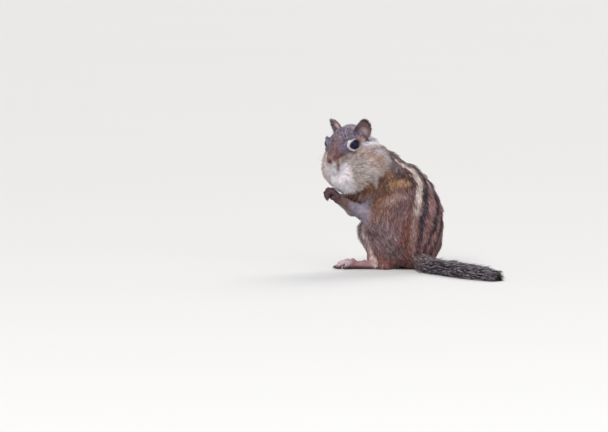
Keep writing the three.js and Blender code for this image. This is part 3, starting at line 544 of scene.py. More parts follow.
def mesh_of(name, points, faces, normals=None, colours=None, uv=None):
    """An object of points in millimetres. faces is an (n, 3) or (n, 4) array."""
    mesh = bpy.data.meshes.new(name)
    n, sides = faces.shape
    mesh.vertices.add(len(points))
    mesh.vertices.foreach_set("co", ((points + SHIFT) * MM).astype(np.float32).ravel())
    mesh.loops.add(n * sides)
    mesh.loops.foreach_set("vertex_index", faces.astype(np.int32).ravel())
    mesh.polygons.add(n)
    mesh.polygons.foreach_set("loop_start", np.arange(0, n * sides, sides, dtype=np.int32))
    mesh.update(calc_edges=True)
    mesh.shade_smooth()
    if normals is not None:
        held = mesh.attributes.new("custom_normal", "FLOAT_VECTOR", "POINT")
        held.data.foreach_set("vector", unit(normals).astype(np.float32).ravel())
    if colours is not None:
        held = mesh.color_attributes.new("Coat", "FLOAT_COLOR", "POINT")
        full = np.concatenate([colours, np.ones((len(colours), 4 - colours.shape[1]))], axis=1)
        held.data.foreach_set("color", full.astype(np.float32).ravel())
    if uv is not None:
        held = mesh.uv_layers.new(name="OFBake")
        held.data.foreach_set("uv", uv[faces.ravel()].astype(np.float32).ravel())
    made = bpy.data.objects.new(name, mesh)
    bpy.context.scene.collection.objects.link(made)
    return made


# Lie of the coat: each region has its own surface, and the blend of regions near a point gives the way its
# hair lies, its length, how it lifts off the skin, its width, how dense it is and how it clumps.

NOSE_TIP = head.point(17.5, 0, -8)
MOUTH_FRONT = head.point(19, 3, -13)
HEM_SLOPE = np.array([0.51, -0.075, -0.857])
HEM_AT = -67.1  # along that slope, where the full pouch's pale hair ends and a long brown fringe begins
HEM_LOW = 60.3  # and below this height in side view
SIDE_UP = np.array([0, 0.0875, 1.0])  # gives the height at which a place is seen from the left side
HANGING = unit(np.array([-0.5, 0, -1.0]))


def away_from(place):
    return lambda p: unit(p - place)


def along(vector):
    way = unit(np.array(vector, float))
    return lambda p: np.broadcast_to(way, p.shape)


def below_hem(p):
    return np.maximum(p @ HEM_SLOPE - HEM_AT, HEM_LOW - p @ SIDE_UP)


def fringe_share(p):
    """1 on the lower edge of the full pouch, 0 above it."""
    return smooth(-2, 3, below_hem(p)) * smooth(-1, 5, head.local(p)[:, 1])


def behind_the_ear(p):
    """Up, back and outwards."""
    outwards = np.outer(np.sign(head.local(p)[:, 1]), head.direction(0, 0.5, 0))
    return unit(outwards + head.direction(-0.35, 0, 0.6))


CREASE_AT = 62.25  # height in side view at which the line between arm and thigh, drawn on, meets X = 0
CREASE_RISE = 0.749


def over_crease(p):
    """How far above the left thigh's upper edge a place is, in side view."""
    return p @ SIDE_UP - CREASE_AT - CREASE_RISE * p[:, 0]


def down_the_arm(side):
    way = unit(ELBOW[side] - shoulders.point(-2, side * 12, 70))
    if side < 0:
        return along(way)

    def lie(p):
        thigh = smooth(1, -1.5, over_crease(p))[:, None]
        return unit((1 - thigh) * way + thigh * down_the_body(p))

    return lie


def down_the_body(p):
    """Down, and outwards from the spine low on the rump."""
    out = p - (6, 1.5, 0)
    out[:, 2] = 0
    low = smooth(30, 0, p[:, 2])[:, None]
    return unit(np.array([0.12, 0.0, -1.0]) + 0.35 * low * unit(out))


class Region:
    """A part of the coat. Length and width are a tuft's, lift is how it rises off the skin, density is in
    tufts for each square millimetre, clump is how far tufts draw together and ticking how much they differ."""

    def __init__(self, field, lie, length, lift, width, density, clump, ticking):
        self.field, self.lie = field, lie
        self.traits = np.array([length, lift, width, density, clump, ticking], float)


NECK, JAW, POUCHES = 1, 4, (5, 6)  # their numbers among the regions
regions = [
    Region(torso(0), down_the_body, 7.4, 0.26, 0.52, 4.2, 0.6, 1.1),
    Region(neck_flesh(0), along(neck.direction(-1, 0, -1.1)), 6.2, 0.27, 0.5, 4.2, 0.6, 1.1),
    Region(ellipsoid(head, (-9, 0, 0.8), (17, 12.5, 10)), away_from(NOSE_TIP), 4.0, 0.26, 0.34, 6.4, 0.5, 1.7),
    Region(bone(head.point(-2, 0, -3), head.point(13, 0, -8), 9.4, 3.8), away_from(NOSE_TIP), 1.9, 0.22,
           0.27, 10.0, 0.25, 0.9),
    Region(bone(head.point(-4, 0, -13), head.point(10.4, 0, -14.6), 8, 2.9), away_from(NOSE_TIP), 2.6, 0.28,
           0.3, 7.0, 0.25, 0.4),
    Region(ellipsoid(head, (-9, 15.5, -22), (18.5, 13.5, 18)), away_from(MOUTH_FRONT), 5.6, 0.26, 0.42, 5.0,
           0.65, 1.0),
    Region(blend(7, ellipsoid(head, (-6, -12, -20), (13.5, 9.5, 15.5)), ellipsoid(head, (3, 2, -26), (11, 11, 11))),
           away_from(MOUTH_FRONT), 4.6, 0.27, 0.4, 4.8, 0.55, 0.6),
]
for s in (1, -1):
    knee, heel = pelvis.point(24, s * 17, 28), foot_axes[s].at
    regions += [
        Region(haunch(s, 0), down_the_body, 6.4, 0.26, 0.46, 4.6, 0.6, 1.4),
        Region(bone(knee, pelvis.point(16, s * 18, 6), 8, 5), down_the_body, 4.4, 0.22, 0.42, 4.4, 0.45, 1.0),
        Region(upper_arm(s, 0), down_the_arm(s), 5.0, 0.25, 0.42, 4.4, 0.55, 1.0),
        Region(forearm(s, 0), along(WRIST[s] - ELBOW[s]), 3.2, 0.2, 0.3, 6.0, 0.25, 0.45),
        Region(forepaw(s), along(paw_axes(s).forward), 1.1, 0.18, 0.2, 6.0, 0.0, 0.6),
        Region(hind_foot(s), along(foot_axes[s].forward), 1.5, 0.16, 0.24, 6.0, 0.0, 0.4),
    ]
ear_tufts = [bone(head.point(-19, s * 9.5, 3), head.point(-20.5, s * 12, -4.5), 2.4, 2.4) for s in (1, -1)]
regions.append(Region(blend(1, *ear_tufts), behind_the_ear, 5.8, 0.9, 0.4, 7.5, 0.3, 0.3))
region_traits = np.array([region.traits for region in regions])
FRINGE_GROWTH = 0.6  # how much longer hair grows on the lower edge of the full pouch


def hanging_share(p, weight):
    """1 where the long fringe of the full pouch grows."""
    return weight[:, [NECK, JAW, *POUCHES]].sum(1) * fringe_share(p)


def coat_at(p):
    """The way of the hair, the traits of the coat and the share of each region at points on the skin."""
    depth = np.stack([region.field(p) for region in regions], axis=1)
    weight = np.exp(-(depth - depth.min(1, keepdims=True)) / 1.4)
    weight /= weight.sum(1, keepdims=True)
    way = sum(weight[:, i : i + 1] * region.lie(p) for i, region in enumerate(regions))
    traits = weight @ region_traits
    hanging = hanging_share(p, weight)
    way = unit(way) + (1.6 * hanging)[:, None] * (HANGING - unit(way))
    traits[:, 0] *= 1 + FRINGE_GROWTH * hanging
    traits[:, 5] += 0.4 * hanging
    from_eye = np.minimum(*[np.linalg.norm(p - eye_centre(s), axis=1) for s in (1, -1)])
    near_eye = smooth(9.5, 5.5, from_eye)  # the hair is short round the eyes
    traits[:, 0] *= 1 - 0.6 * near_eye
    traits[:, 3] *= 1 + 0.5 * near_eye
    return way, traits, weight


# Markings


def srgb(red, green, blue):
    c = np.array([red, green, blue]) / 255
    return np.where(c < 0.04045, c / 12.92, ((c + 0.055) / 1.055) ** 2.4)


BLACK = srgb(34, 22, 36)
DARK_BROWN = srgb(76, 44, 38)
CREAM = srgb(240, 224, 216)
BUFF = srgb(156, 110, 110)
GREY_BROWN = srgb(112, 74, 74)
THIGH = srgb(122, 96, 100)
ROSY = srgb(150, 106, 92)
RIM_LIGHT_PINK_WHITE = srgb(226, 196, 194)
RUST = srgb(120, 64, 54)
WHITE = srgb(240, 234, 240)
COOL_WHITE = srgb(216, 214, 232)
PINK = srgb(188, 158, 148)
TAN = srgb(180, 132, 108)
CROWN = srgb(114, 102, 126)
PALE = srgb(196, 182, 176)
OCHRE = srgb(176, 132, 90)
ORANGE = srgb(140, 88, 58)
FRINGE = srgb(104, 68, 52)
SLATE = srgb(96, 86, 90)
MUZZLE = srgb(108, 66, 62)
EAR_DARK = srgb(54, 36, 42)
EAR_MIDDLE = srgb(118, 94, 96)
EAR_PALE = srgb(202, 180, 178)
ARM = srgb(168, 158, 176)
PAW = srgb(92, 62, 72)
FOOT = srgb(166, 128, 130)
TOE_HIGHLIGHT = srgb(210, 186, 198)
SOLE = srgb(104, 64, 60)
NOSE = srgb(104, 70, 78)
TAIL_DARK = srgb(94, 82, 88)
TAIL_BROWN = srgb(150, 118, 112)
TAIL_FROST = srgb(196, 188, 196)
TAIL_BAND = srgb(58, 50, 60)
TICK_PALE = srgb(218, 202, 200)
TICK_DARK = srgb(50, 32, 36)


def paint(colour, over, mask):
    return over + (colour - over) * np.clip(mask, 0, 1)[:, None]


def stroke(p, path, width, soft):
    """1 on a stripe along a path, falling to 0 at its edges. The path is in the same frame as p."""
    path = np.array(path, float)
    best = np.full(len(p), 1e9)
    for a, b in zip(path[:-1], path[1:]):
        axis = b - a
        t = np.clip((p - a) @ axis / (axis @ axis), 0, 1)
        best = np.minimum(best, np.linalg.norm(p - a - t[:, None] * axis, axis=1))
    return smooth(width + soft, width - soft, best)


# The back's midline turns as the spine twists: its heading from +X towards the left side by height, the
# middle that it turns about, and how wide the stripes are spaced
MIDLINE_Z = [0, 20, 30, 41, 47, 52, 57, 62, 66, 71, 80]
MIDLINE_TURN = [58, 54, 47, 40, 32, 25, 20, 15.5, 9.5, 2, -8]
MIDLINE_X = [5.5, 5.5, 5.5, 6.0, 5.7, 5.4, 4.6, 3.2, 1.0, -5, -14]
MIDLINE_Y = [2, 2, 2, 1.4, 1.1, 0.8, 0.6, 0.4, 0.2, 0, -1]
STRIPE_SCALE = [0.5, 0.6, 0.7, 0.84, 0.9, 0.95, 0.98, 0.93, 0.86, 0.78, 0.7]


def back_angle(p):
    """Degrees round the body from the midline of the back, in the stripes' own scale, and the plain ones."""
    z = p[:, 2]
    turn = np.interp(z, MIDLINE_Z, MIDLINE_TURN)
    x = p[:, 0] - np.interp(z, MIDLINE_Z, MIDLINE_X)
    y = p[:, 1] - np.interp(z, MIDLINE_Z, MIDLINE_Y)
    angle = (np.degrees(np.arctan2(-y, x)) - turn + 180) % 360 - 180
    return angle / np.interp(z, MIDLINE_Z, STRIPE_SCALE), angle


def belly_angle(p, near_start, far_start):
    """Degrees round the body past the place where the belly's white starts: from the midline of the back
    on the left side, and from behind on the right side, where the midline has turned away."""
    x = p[:, 0] - np.interp(p[:, 2], MIDLINE_Z, MIDLINE_X)
    behind = np.degrees(np.arctan2(np.maximum(p[:, 1], 0), x))
    return np.where(p[:, 1] < 2, np.abs(back_angle(p)[1]) - near_start, behind - far_start)


STRIPE_EDGE = 1.8  # how soft a stripe's edges are, in degrees
wander = waves(11, 22)
mottle = waves(12, 9)
patchy = waves(13, 34)


def in_side_view(p):
    """Places along the body and up it, as they are seen from its left side."""
    return np.stack([p[:, 0], p @ SIDE_UP], axis=1)


def on_the_shoulder(p, colour):
    """The left shoulder: slate behind the pouch, then a dark brown arc round an ochre patch, with silver
    and dark hairs below it and an orange brown band over the upper edge of the thigh."""
    seen = in_side_view(p)
    left = smooth(0, -6, p[:, 1])
    edge = over_crease(p) + 0.6 * mottle(p)
    thigh = left * smooth(0.4, -1.2, edge) * smooth(-9, -4, edge) * smooth(8, 0, seen[:, 0])
    colour = paint(ROSY, colour, thigh)
    colour = paint(TICK_PALE, colour, 0.22 * left * stroke(seen, [(-8, 53), (2, 57)], 2.6, 2.4))
    brown = smooth(2.5, 5.5, edge) * smooth(2, -6, seen[:, 0]) * smooth(72, 68, seen[:, 1])
    colour = paint(FRINGE, colour, left * brown)
    colour = paint(OCHRE, colour, 0.9 * left * stroke(seen, [(-8, 63.5), (-3, 66), (4, 66)], 2.6, 1.8))
    colour = paint(SLATE, colour, 0.95 * left * stroke(seen, [(-7, 84), (-7.5, 76), (-2, 73.8)], 3.0, 2.0))
    arc = [(-5, 71.5), (3.8, 71.5), (8.4, 68.4), (9, 64.4), (3.6, 60.8)]
    return paint(DARK_BROWN, colour, 0.95 * left * stroke(seen, arc, 1.9, 1.3))


def body_colour(p):
    q, angle = back_angle(p)
    q = np.abs(q + 1.6 * wander(p))
    away = np.abs(angle)
    z = p[:, 2]
    colour = np.repeat(GREY_BROWN[None], len(p), 0)
    colour = paint(RUST, colour, 0.85 * smooth(54, 34, z) * smooth(80, 50, away))
    colour = paint(THIGH, colour, 0.4 * smooth(48, 62, away) * smooth(58, 46, z))
    colour = on_the_shoulder(p, colour)
    colour = paint(WHITE, colour, smooth(0, 20, belly_angle(p, 108, 116)))

    def band(middle, half, soft=STRIPE_EDGE):
        edge = np.abs(q - middle)
        return smooth(half + soft, half - soft, edge)

    lower = smooth(6, 40, z + 4 * mottle(p))  # the stripes fade towards the rump
    colour = paint(BUFF, colour, band(16, 12) * smooth(88, 78, z) * 0.8)
    colour = paint(CREAM, colour, 0.45 * band(17, 6, 4) * smooth(58, 70, z) * smooth(84, 76, z))
    pale = smooth(40, 62, z + 3 * mottle(p)) * (1 - 0.4 * smooth(74, 84, z))
    colour = paint(CREAM, colour, band(47, 6.4, 3.4) * (0.16 + 0.84 * pale))
    colour = paint(DARK_BROWN, colour, 0.45 * band(61, 5, 3.5) * smooth(38, 52, z))
    inner = np.interp(z, [60, 76], [30, 21])
    colour = paint(BLACK, colour, band(inner, 7.2, 2.8) * (0.4 + 0.6 * lower))
    colour = paint(BLACK, colour, smooth(8.2, 4.2, q) * (0.45 + 0.55 * lower))
    nape = smooth(76, 86, z + 3 * mottle(p))
    colour = paint(SLATE, colour, 0.8 * nape * smooth(80, 50, q))
    colour = paint(CREAM, colour, 0.4 * nape * band(46, 4, 3))
    return paint(BLACK, colour, 0.4 * nape * (band(26, 4, 3) + band(62, 4, 3)))


def under_pouch(p, colour):
    """The brown fringe below the full pouch's pale hair."""
    hem = below_hem(p) + 1.2 * mottle(p) + 0.9 * wander(p)
    lower = smooth(-1.5, 2, hem) * smooth(-1, 5, head.local(p)[:, 1])
    colour = paint(FRINGE, colour, lower)
    return paint(ORANGE, colour, 0.8 * lower * smooth(0.3, 1.0, wander(p)))


def neck_colour(p):
    return under_pouch(p, body_colour(p))


def in_eye_frame(m):
    """Distances along and across the left eye, for points of the head that are mirrored to the left."""
    rows = np.array([head.rows @ way for way in eye_axes(1)])
    return ((m - np.array(EYE_PLACE)) @ rows.T).T


def beside_the_snout(p, colour):
    """Red brown down the left side of the snout and below the eye, in side view, with a line of painted shade along
    the lips.
    """
    seen = in_side_view(p)
    near = smooth(0.5, 3, head.local(p)[:, 1])
    colour = paint(MUZZLE, colour, 0.5 * near * stroke(seen, [(-44, 86), (-39, 82.5)], 1.8, 1.8))
    # Along the side of the lips: partly the snout's own red brown, partly painted shade.
    return paint(MUZZLE, colour, 0.85 * near * stroke(seen, [(-49, 89), (-48, 81), (-47.6, 75)], 1.1, 1.2))


def head_colour(p):
    local_p = head.local(p)
    f, l, u = local_p.T
    m = np.stack([f, np.abs(l), u], axis=1)
    colour = np.repeat(CROWN[None], len(p), 0)
    colour = paint(PALE, colour, smooth(-3.5, -7, u - 0.1 * f))
    colour = paint(WHITE, colour, smooth(-11, -15, u - 0.1 * f) * smooth(11, 5, np.abs(l)))
    colour = paint(MUZZLE, colour, 0.7 * stroke(m, [(17, 0, -5), (8, 0, 0)], 3.6, 3.2))
    colour = paint(BLACK, colour, 0.45 * stroke(m, [(3, 0, 8), (-22, 0, 10)], 1.8, 1.5))
    colour = paint(TICK_DARK, colour, 0.5 * stroke(m, [(5, 6, 4), (-1, 7.5, 8), (-9, 8, 10.5)], 1.4, 1.4))
    colour = paint(MUZZLE, colour, 0.95 * stroke(m, [(14, 4, -5.5), (9, 6.4, -5), (4, 10, -6)], 2.6, 1.5))
    colour = paint(MUZZLE, colour, 0.5 * stroke(m, [(10, 0, 0), (3, 0, 5)], 4.0, 3.5))
    colour = beside_the_snout(p, colour)
    colour = paint(TAN, colour, 0.85 * stroke(m, [(-7, 12, 3), (-12, 12.6, 0.6)], 2.3, 1.4))
    colour = paint(WHITE, colour, 0.5 * stroke(m, [(11, 5, -1.5), (5, 8, 1.8)], 0.6, 0.8))
    cheek = [(-3, 14.6, -7.6), (-9, 16.5, -8), (-16, 16, -7)]
    colour = paint(THIGH, colour, 0.75 * stroke(m, cheek, 1.6, 1.8))
    out, ahead, over = in_eye_frame(m)
    ring = np.sqrt((ahead / 4.3) ** 2 + (over / 3.7) ** 2)
    broad = 1.24 + 0.2 * smooth(-1, 3, over + 0.9 * ahead) - 0.3 * smooth(0.5, 3, over - ahead)
    colour = paint(WHITE, colour, smooth(0.12, -0.1, ring - broad) * (out > 0) * np.where(l > 0, 1, 0.15))
    colour = paint(BLACK, colour, smooth(1.08, 1.0, ring) * (out > 0))
    colour = paint(WHITE, colour, stroke(m, [(-18, 11, 2), (-19, 13, -4)], 2.2, 1.4))
    colour = paint(SLATE, colour, 0.9 * stroke(m, [(-15, 15.5, -6.5), (-22, 13, -6.5)], 1.4, 1.2))
    nose = np.linalg.norm(local_p - (16.8, 0, -7.4), axis=1)
    return paint(NOSE, colour, smooth(2.5, 1.9, nose))


def jaw_colour(p):
    return under_pouch(p, head_colour(p))


def ear_tuft_colour(p):
    return np.repeat(COOL_WHITE[None] * 1.12, len(p), 0)


def pouch_colour(p):
    local_p = head.local(p)
    colour = np.repeat(PALE[None], len(p), 0)
    blot = np.linalg.norm((local_p - (-8, 27, -14)) / (6, 8, 6.5), axis=1)
    colour = paint(OCHRE, colour, smooth(1.35, 0.3, blot + 0.2 * mottle(p)) * 0.7)
    colour = paint(THIGH, colour, 0.4 * smooth(-14, -8, local_p[:, 2] + mottle(p)))
    colour = paint(PINK, colour, 0.5 * smooth(0.1, 0.9, wander(p)))
    colour = paint(COOL_WHITE, colour, 0.6 * stroke(local_p, [(-12, 24.5, -8), (-18, 23.5, -14)], 2.4, 2.8))
    # A grey line of painted shade in the crease where the pouch meets the muzzle.
    colour = paint(SLATE, colour, 0.5 * stroke(local_p, [(9, 10, -12), (7.5, 10, -16), (6, 10.5, -22)], 0.8, 1.6))
    front = smooth(1, 8, local_p[:, 0]) * smooth(16, 8, np.abs(local_p[:, 1]))
    return under_pouch(p, beside_the_snout(p, paint(WHITE, colour, 0.85 * front)))


THIGH_FRONT_Z = [6.9, 16.7, 28.1, 37.7]  # height in side view and place of the left thigh's front edge
THIGH_FRONT_X = [-21.8, -27.2, -31.0, -30.4]


def haunch_colour(p):
    z = p[:, 2]
    seen = in_side_view(p)
    near = smooth(2, -6, p[:, 1])
    colour = np.repeat(THIGH[None], len(p), 0)
    colour = paint(ROSY, colour, 0.9 * smooth(32, 44, z + 4 * patchy(p)))
    colour = paint(RUST, colour, 0.85 * smooth(16, 7, z))
    colour = paint(RUST, colour, 0.8 * smooth(21, 13, z) * smooth(-12, -20, p[:, 0]))
    colour = paint(WHITE, colour, 0.9 * smooth(0, 18, belly_angle(p, 162, 146)))
    colour = on_the_shoulder(p, colour)
    rim = seen[:, 0] - np.interp(seen[:, 1], THIGH_FRONT_Z, THIGH_FRONT_X)
    # Painted rim light: a pale band along the near thigh's front edge, as seen from the left.
    return paint(RIM_LIGHT_PINK_WHITE, colour, 0.95 * near * smooth(6.2, 3.4, rim) * smooth(44, 39, z))


def arm_colour(p):
    """Orange brown with a dark shoulder, pale towards the elbow."""
    colour = np.repeat(ORANGE[None], len(p), 0)
    colour = paint(OCHRE, colour, 0.6 * smooth(0.2, 1.0, wander(p)))
    colour = on_the_shoulder(p, colour)
    return paint(ARM, colour, smooth(-19, -27, p[:, 0]) * 0.9)


def forearm_colour(p):
    seen = in_side_view(p)
    colour = np.repeat(ARM[None], len(p), 0)
    colour = paint(FRINGE, colour, 0.85 * smooth(-33, -41, seen[:, 0]))
    # A pale line along the forearm's lower edge: partly its whitish underside, partly painted rim light.
    return paint(WHITE, colour, 0.5 * stroke(seen, [(-46, 47), (-37, 40), (-29, 36)], 1.2, 1.2))


def foot_colour(p):
    """Pink above, red brown beneath, with a painted highlight on the toes."""
    toes = np.maximum(*[smooth(20, 27, foot.local(p)[:, 0]) for foot in foot_axes.values()])
    # Painted highlight: the toes are lighter than the top of the foot.
    colour = paint(TOE_HIGHLIGHT, np.repeat(FOOT[None], len(p), 0), toes)
    return paint(SOLE, colour, smooth(3.4, 1.6, p[:, 2]))


def paw_colour(p):
    return np.repeat(PAW[None], len(p), 0)


limb_colours = [haunch_colour, haunch_colour, arm_colour, forearm_colour, paw_colour, foot_colour]
region_colours = [body_colour, neck_colour, head_colour, head_colour, jaw_colour, pouch_colour, pouch_colour,
                  *limb_colours, *limb_colours, ear_tuft_colour]


EAR_FOLD_SHADE = [(-14, 11, 1.5), (-16.5, 12.8, -3.2)]  # painted shade in the fold below the opening of each ear


def coat_colour(p, weight):
    sharp = weight**1.5
    sharp /= sharp.sum(1, keepdims=True)
    colour = sum(sharp[:, i : i + 1] * paint_of(p) for i, paint_of in enumerate(region_colours))
    m = head.local(p)
    m[:, 1] = np.abs(m[:, 1])
    # Painted shade in the fold below each ear's opening.
    return paint(DARK_BROWN, colour, stroke(m, EAR_FOLD_SHADE, 1.5, 0.7))


# Materials


def nodes_of(name):
    material = bpy.data.materials.new(name)
    material.use_nodes = True
    tree = material.node_tree
    return material, tree, tree.nodes["Principled BSDF"]


def noise_node(tree, scale, detail=3.0):
    where = tree.nodes.new("ShaderNodeTexCoord")
    noise = tree.nodes.new("ShaderNodeTexNoise")
    noise.inputs["Scale"].default_value = scale
    noise.inputs["Detail"].default_value = detail
    tree.links.new(where.outputs["Object"], noise.inputs["Vector"])
    return noise


def ramp_node(tree, source, stops):
    ramp = tree.nodes.new("ShaderNodeValToRGB")
    while len(ramp.color_ramp.elements) < len(stops):
        ramp.color_ramp.elements.new(0.5)
    for element, (place, colour) in zip(ramp.color_ramp.elements, stops):
        element.position = place
        element.color = (*np.broadcast_to(colour, 3), 1)
    tree.links.new(source, ramp.inputs["Fac"])
    return ramp


def multiplied(tree, first, second):
    mix = tree.nodes.new("ShaderNodeMix")
    mix.data_type, mix.blend_type = "RGBA", "MULTIPLY"
    mix.inputs[0].default_value = 1
    tree.links.new(first, mix.inputs[6])
    tree.links.new(second, mix.inputs[7])
    return mix.outputs[2]


def bumped(tree, shader, height, distance, strength=1.0):
    bump = tree.nodes.new("ShaderNodeBump")
    bump.inputs["Distance"].default_value = distance
    bump.inputs["Strength"].default_value = strength
    tree.links.new(height, bump.inputs["Height"])
    tree.links.new(bump.outputs["Normal"], shader.inputs["Normal"])


def painted(name, scale, low, high, roughness, sheen=0.0, specular=0.5):
    """The markings, varied by a fine noise."""
    material, tree, shader = nodes_of(name)
    marks = tree.nodes.new("ShaderNodeAttribute")
    marks.attribute_name = "Coat"
    noise = noise_node(tree, scale)
    ramp = ramp_node(tree, noise.outputs["Fac"], [(0.3, low), (0.7, high)])
    tree.links.new(multiplied(tree, marks.outputs["Color"], ramp.outputs["Color"]), shader.inputs["Base Color"])
    shader.inputs["Roughness"].default_value = roughness
    shader.inputs["Sheen Weight"].default_value = sheen
    shader.inputs["Specular IOR Level"].default_value = specular
    return material, tree, shader


def fur_material():
    material, _, _ = painted("short_fur", 900, 0.82, 1.15, 0.55, sheen=0.08, specular=0.3)
    return material


def skin_material():
    material, tree, shader = painted("skin", 700, 0.75, 1.05, 0.7, specular=0.3)
    wrinkles = noise_node(tree, 1400, 6)
    bumped(tree, shader, wrinkles.outputs["Fac"], 0.0002, 0.6)
    return material


def horn_material():
    material, tree, shader = nodes_of("claw_horn")
    noise = noise_node(tree, 500)
    ramp = ramp_node(tree, noise.outputs["Fac"], [(0.3, srgb(58, 44, 40)), (0.8, srgb(120, 98, 84))])
    tree.links.new(ramp.outputs["Color"], shader.inputs["Base Color"])
    shader.inputs["Roughness"].default_value = 0.35
    bumped(tree, shader, noise.outputs["Fac"], 0.00005)
    return material


def whisker_material():
    material, tree, shader = nodes_of("whisker_hair")
    noise = noise_node(tree, 120)
    ramp = ramp_node(tree, noise.outputs["Fac"], [(0.35, srgb(60, 52, 50)), (0.7, srgb(190, 180, 170))])
    tree.links.new(ramp.outputs["Color"], shader.inputs["Base Color"])
    shader.inputs["Roughness"].default_value = 0.4
    return material


def eye_material():
    material, _, _ = painted("wet_eye", 260, 0.8, 1.2, 0.05, specular=0.24)
    return material


def lid_material():
    material, tree, shader = nodes_of("lid_skin")
    noise = noise_node(tree, 1200, 5)
    ramp = ramp_node(tree, noise.outputs["Fac"], [(0.3, srgb(30, 22, 24)), (0.8, srgb(66, 48, 46))])
    tree.links.new(ramp.outputs["Color"], shader.inputs["Base Color"])
    shader.inputs["Roughness"].default_value = 0.45
    bumped(tree, shader, noise.outputs["Fac"], 0.0001)
    return material


def dressed(piece, material, slot, *nodes):
    piece.data.materials.append(material)
    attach(piece, "root")
    if nodes:
        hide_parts(*nodes)
    return piece


FUR, SKIN = fur_material(), skin_material()
HORN, WHISKER, EYE, LID = horn_material(), whisker_material(), eye_material(), lid_material()

# The skin

FLESH_NODES = [n for n in sorted(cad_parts) if not n.startswith(("eye_", "ear_"))]


def make_skin():
    xs = spread_of((-74, 0.6), (-60, 0.44), (-31, 0.7), (-16, 1.0), (40, 1.4), (66, 1.4))
    ys = spread_of((-88, 1.4), (-44, 0.8), (-30, 0.44), (-1, 0.7), (14, 0.9), (54, 1))
    zs = spread_of((-1, 0.55), (9, 1.1), (50, 0.55), (60, 0.8), (76, 0.44), (101, 0.8), (114, 1))
    points, quads = surface(above_ground, xs, ys, zs)
    normals = slope_of(above_ground, points)
    colours = coat_colour(points, coat_at(points)[2])
    piece = mesh_of("skin", points, quads, normals, colours * 0.8)
    dressed(piece, SKIN, "body_coat", *FLESH_NODES)
    return points, quads, unit(normals)


skin_points, skin_quads, skin_normals = make_skin()
print("skin", len(skin_points), "points", len(skin_quads), "quads")


# The coat: solid tufts of three sides that taper to a point, rooted in the skin

SUNK = 0.3  # how deep a root goes into the skin
PATCH = 0.003  # size of a tuft's patch on the map
TUFTS_IN_PIECE = 19500


def scattered(points, quads, normals, density_of, seed):
    """Random places on the skin: points, normals."""
    rng = np.random.default_rng(seed)
    corners = points[quads]
    a, b, c, d = np.moveaxis(corners, 1, 0)
    cross = np.cross(c - a, d - b)
    area = np.linalg.norm(cross, axis=1) / 2
    want = area * density_of(corners.mean(1)) * QUICK_SHARE
    count = np.floor(want + rng.uniform(size=len(want))).astype(int)
    which = np.repeat(np.arange(len(quads)), count)
    s, t = rng.uniform(size=(2, len(which), 1))
    mix = [(1 - s) * (1 - t), s * (1 - t), s * t, (1 - s) * t]
    root = sum(m * points[quads[which, k]] for k, m in enumerate(mix))
    facing = unit(sum(m * normals[quads[which, k]] for k, m in enumerate(mix)))
    return root, facing


def nearest(places, to):
    """For each point of to, the number of the nearest of the places."""
    tree = KDTree(len(places))
    for i, place in enumerate(places):
        tree.insert(place, i)
    tree.balance()
    return np.array([tree.find(p)[1] for p in to], int)


def tuft_mesh(spine, across, out, width, colours, softness, patch_at):
    """Points, faces, normals, colours and map of many tufts.

    spine is (rings + 1, n, 3), from root to tip, across and out are unit vectors over each tuft, width holds
    the widths of the rings, colours are (rings + 1, n, 3), and softness is how far the light falls as on the
    skin below.
    """
    rings, n = len(spine) - 1, spine.shape[1]
    corners = [(0.5, -0.12), (0.0, 0.3), (-0.5, -0.12)]
    points, normals, shades, maps = [], [], [], []
    for ring in range(rings):
        for side, (sideways, outwards) in enumerate(corners):
            points.append(spine[ring] + width[ring][:, None] * (sideways * across + outwards * out))
            own = unit(sideways * 1.7 * across + (0.5 if side == 1 else 0.15) * out)
            normals.append(unit(softness * out + (1 - softness) * own))
            shades.append(colours[ring])
            maps.append(patch_at + PATCH * np.array([side / 2, ring / rings]))
    points.append(spine[rings])
    normals.append(out)
    shades.append(colours[rings])
    maps.append(patch_at + PATCH * np.array([0.5, 1.0]))
    faces = [(0, 2, 1)]
    for ring in range(rings - 1):
        for side in range(3):
            a, b = ring * 3 + side, ring * 3 + (side + 1) % 3
            faces += [(a, b, b + 3), (a, b + 3, a + 3)]
    last = (rings - 1) * 3
    faces += [(last + side, last + (side + 1) % 3, rings * 3) for side in range(3)]
    size = 3 * rings + 1
    joined = [np.stack(parts, axis=1).reshape(n * size, -1) for parts in (points, normals, shades, maps)]
    faces = (np.array(faces)[None] + (np.arange(n) * size)[:, None, None]).reshape(-1, 3)
    return joined[0], faces, joined[1], joined[2], joined[3]


def unwrapped():
    """A coarse copy of the skin with a map of its own: finds the place on the map of any point on the skin."""
    step = 3.0
    lines = [np.arange(low, high + step, step) for low, high in ((-75, 69), (-87, 56), (-3, 112))]
    points, quads = surface(above_ground, *lines)
    piece = mesh_of("map_of_the_skin", points, quads)
    bpy.context.view_layer.objects.active = piece
    bpy.ops.object.mode_set(mode="EDIT")
    bpy.ops.mesh.select_all(action="SELECT")
    bpy.ops.uv.smart_project(angle_limit=1.15, island_margin=0.004)
    bpy.ops.object.mode_set(mode="OBJECT")
    uv = np.empty(len(quads) * 8)
    piece.data.uv_layers.active.data.foreach_get("uv", uv)
    bpy.data.objects.remove(piece)
    return points, quads, uv.reshape(-1, 4, 2)


map_points, map_quads, map_uv = unwrapped()
map_tree = BVHTree.FromPolygons(map_points.tolist(), map_quads.tolist())


def place_on_map(roots):
    """The corner of each tuft's patch."""
    found = [map_tree.find_nearest(root)[2] for root in roots.tolist()]
    corners = map_points[map_quads[found]]
    away = np.linalg.norm(corners - roots[:, None], axis=2)
    near = 1 / np.maximum(away, 0.05) ** 2
    near /= near.sum(1, keepdims=True)
    return (near[:, :, None] * map_uv[found]).sum(1) * (1 - PATCH)


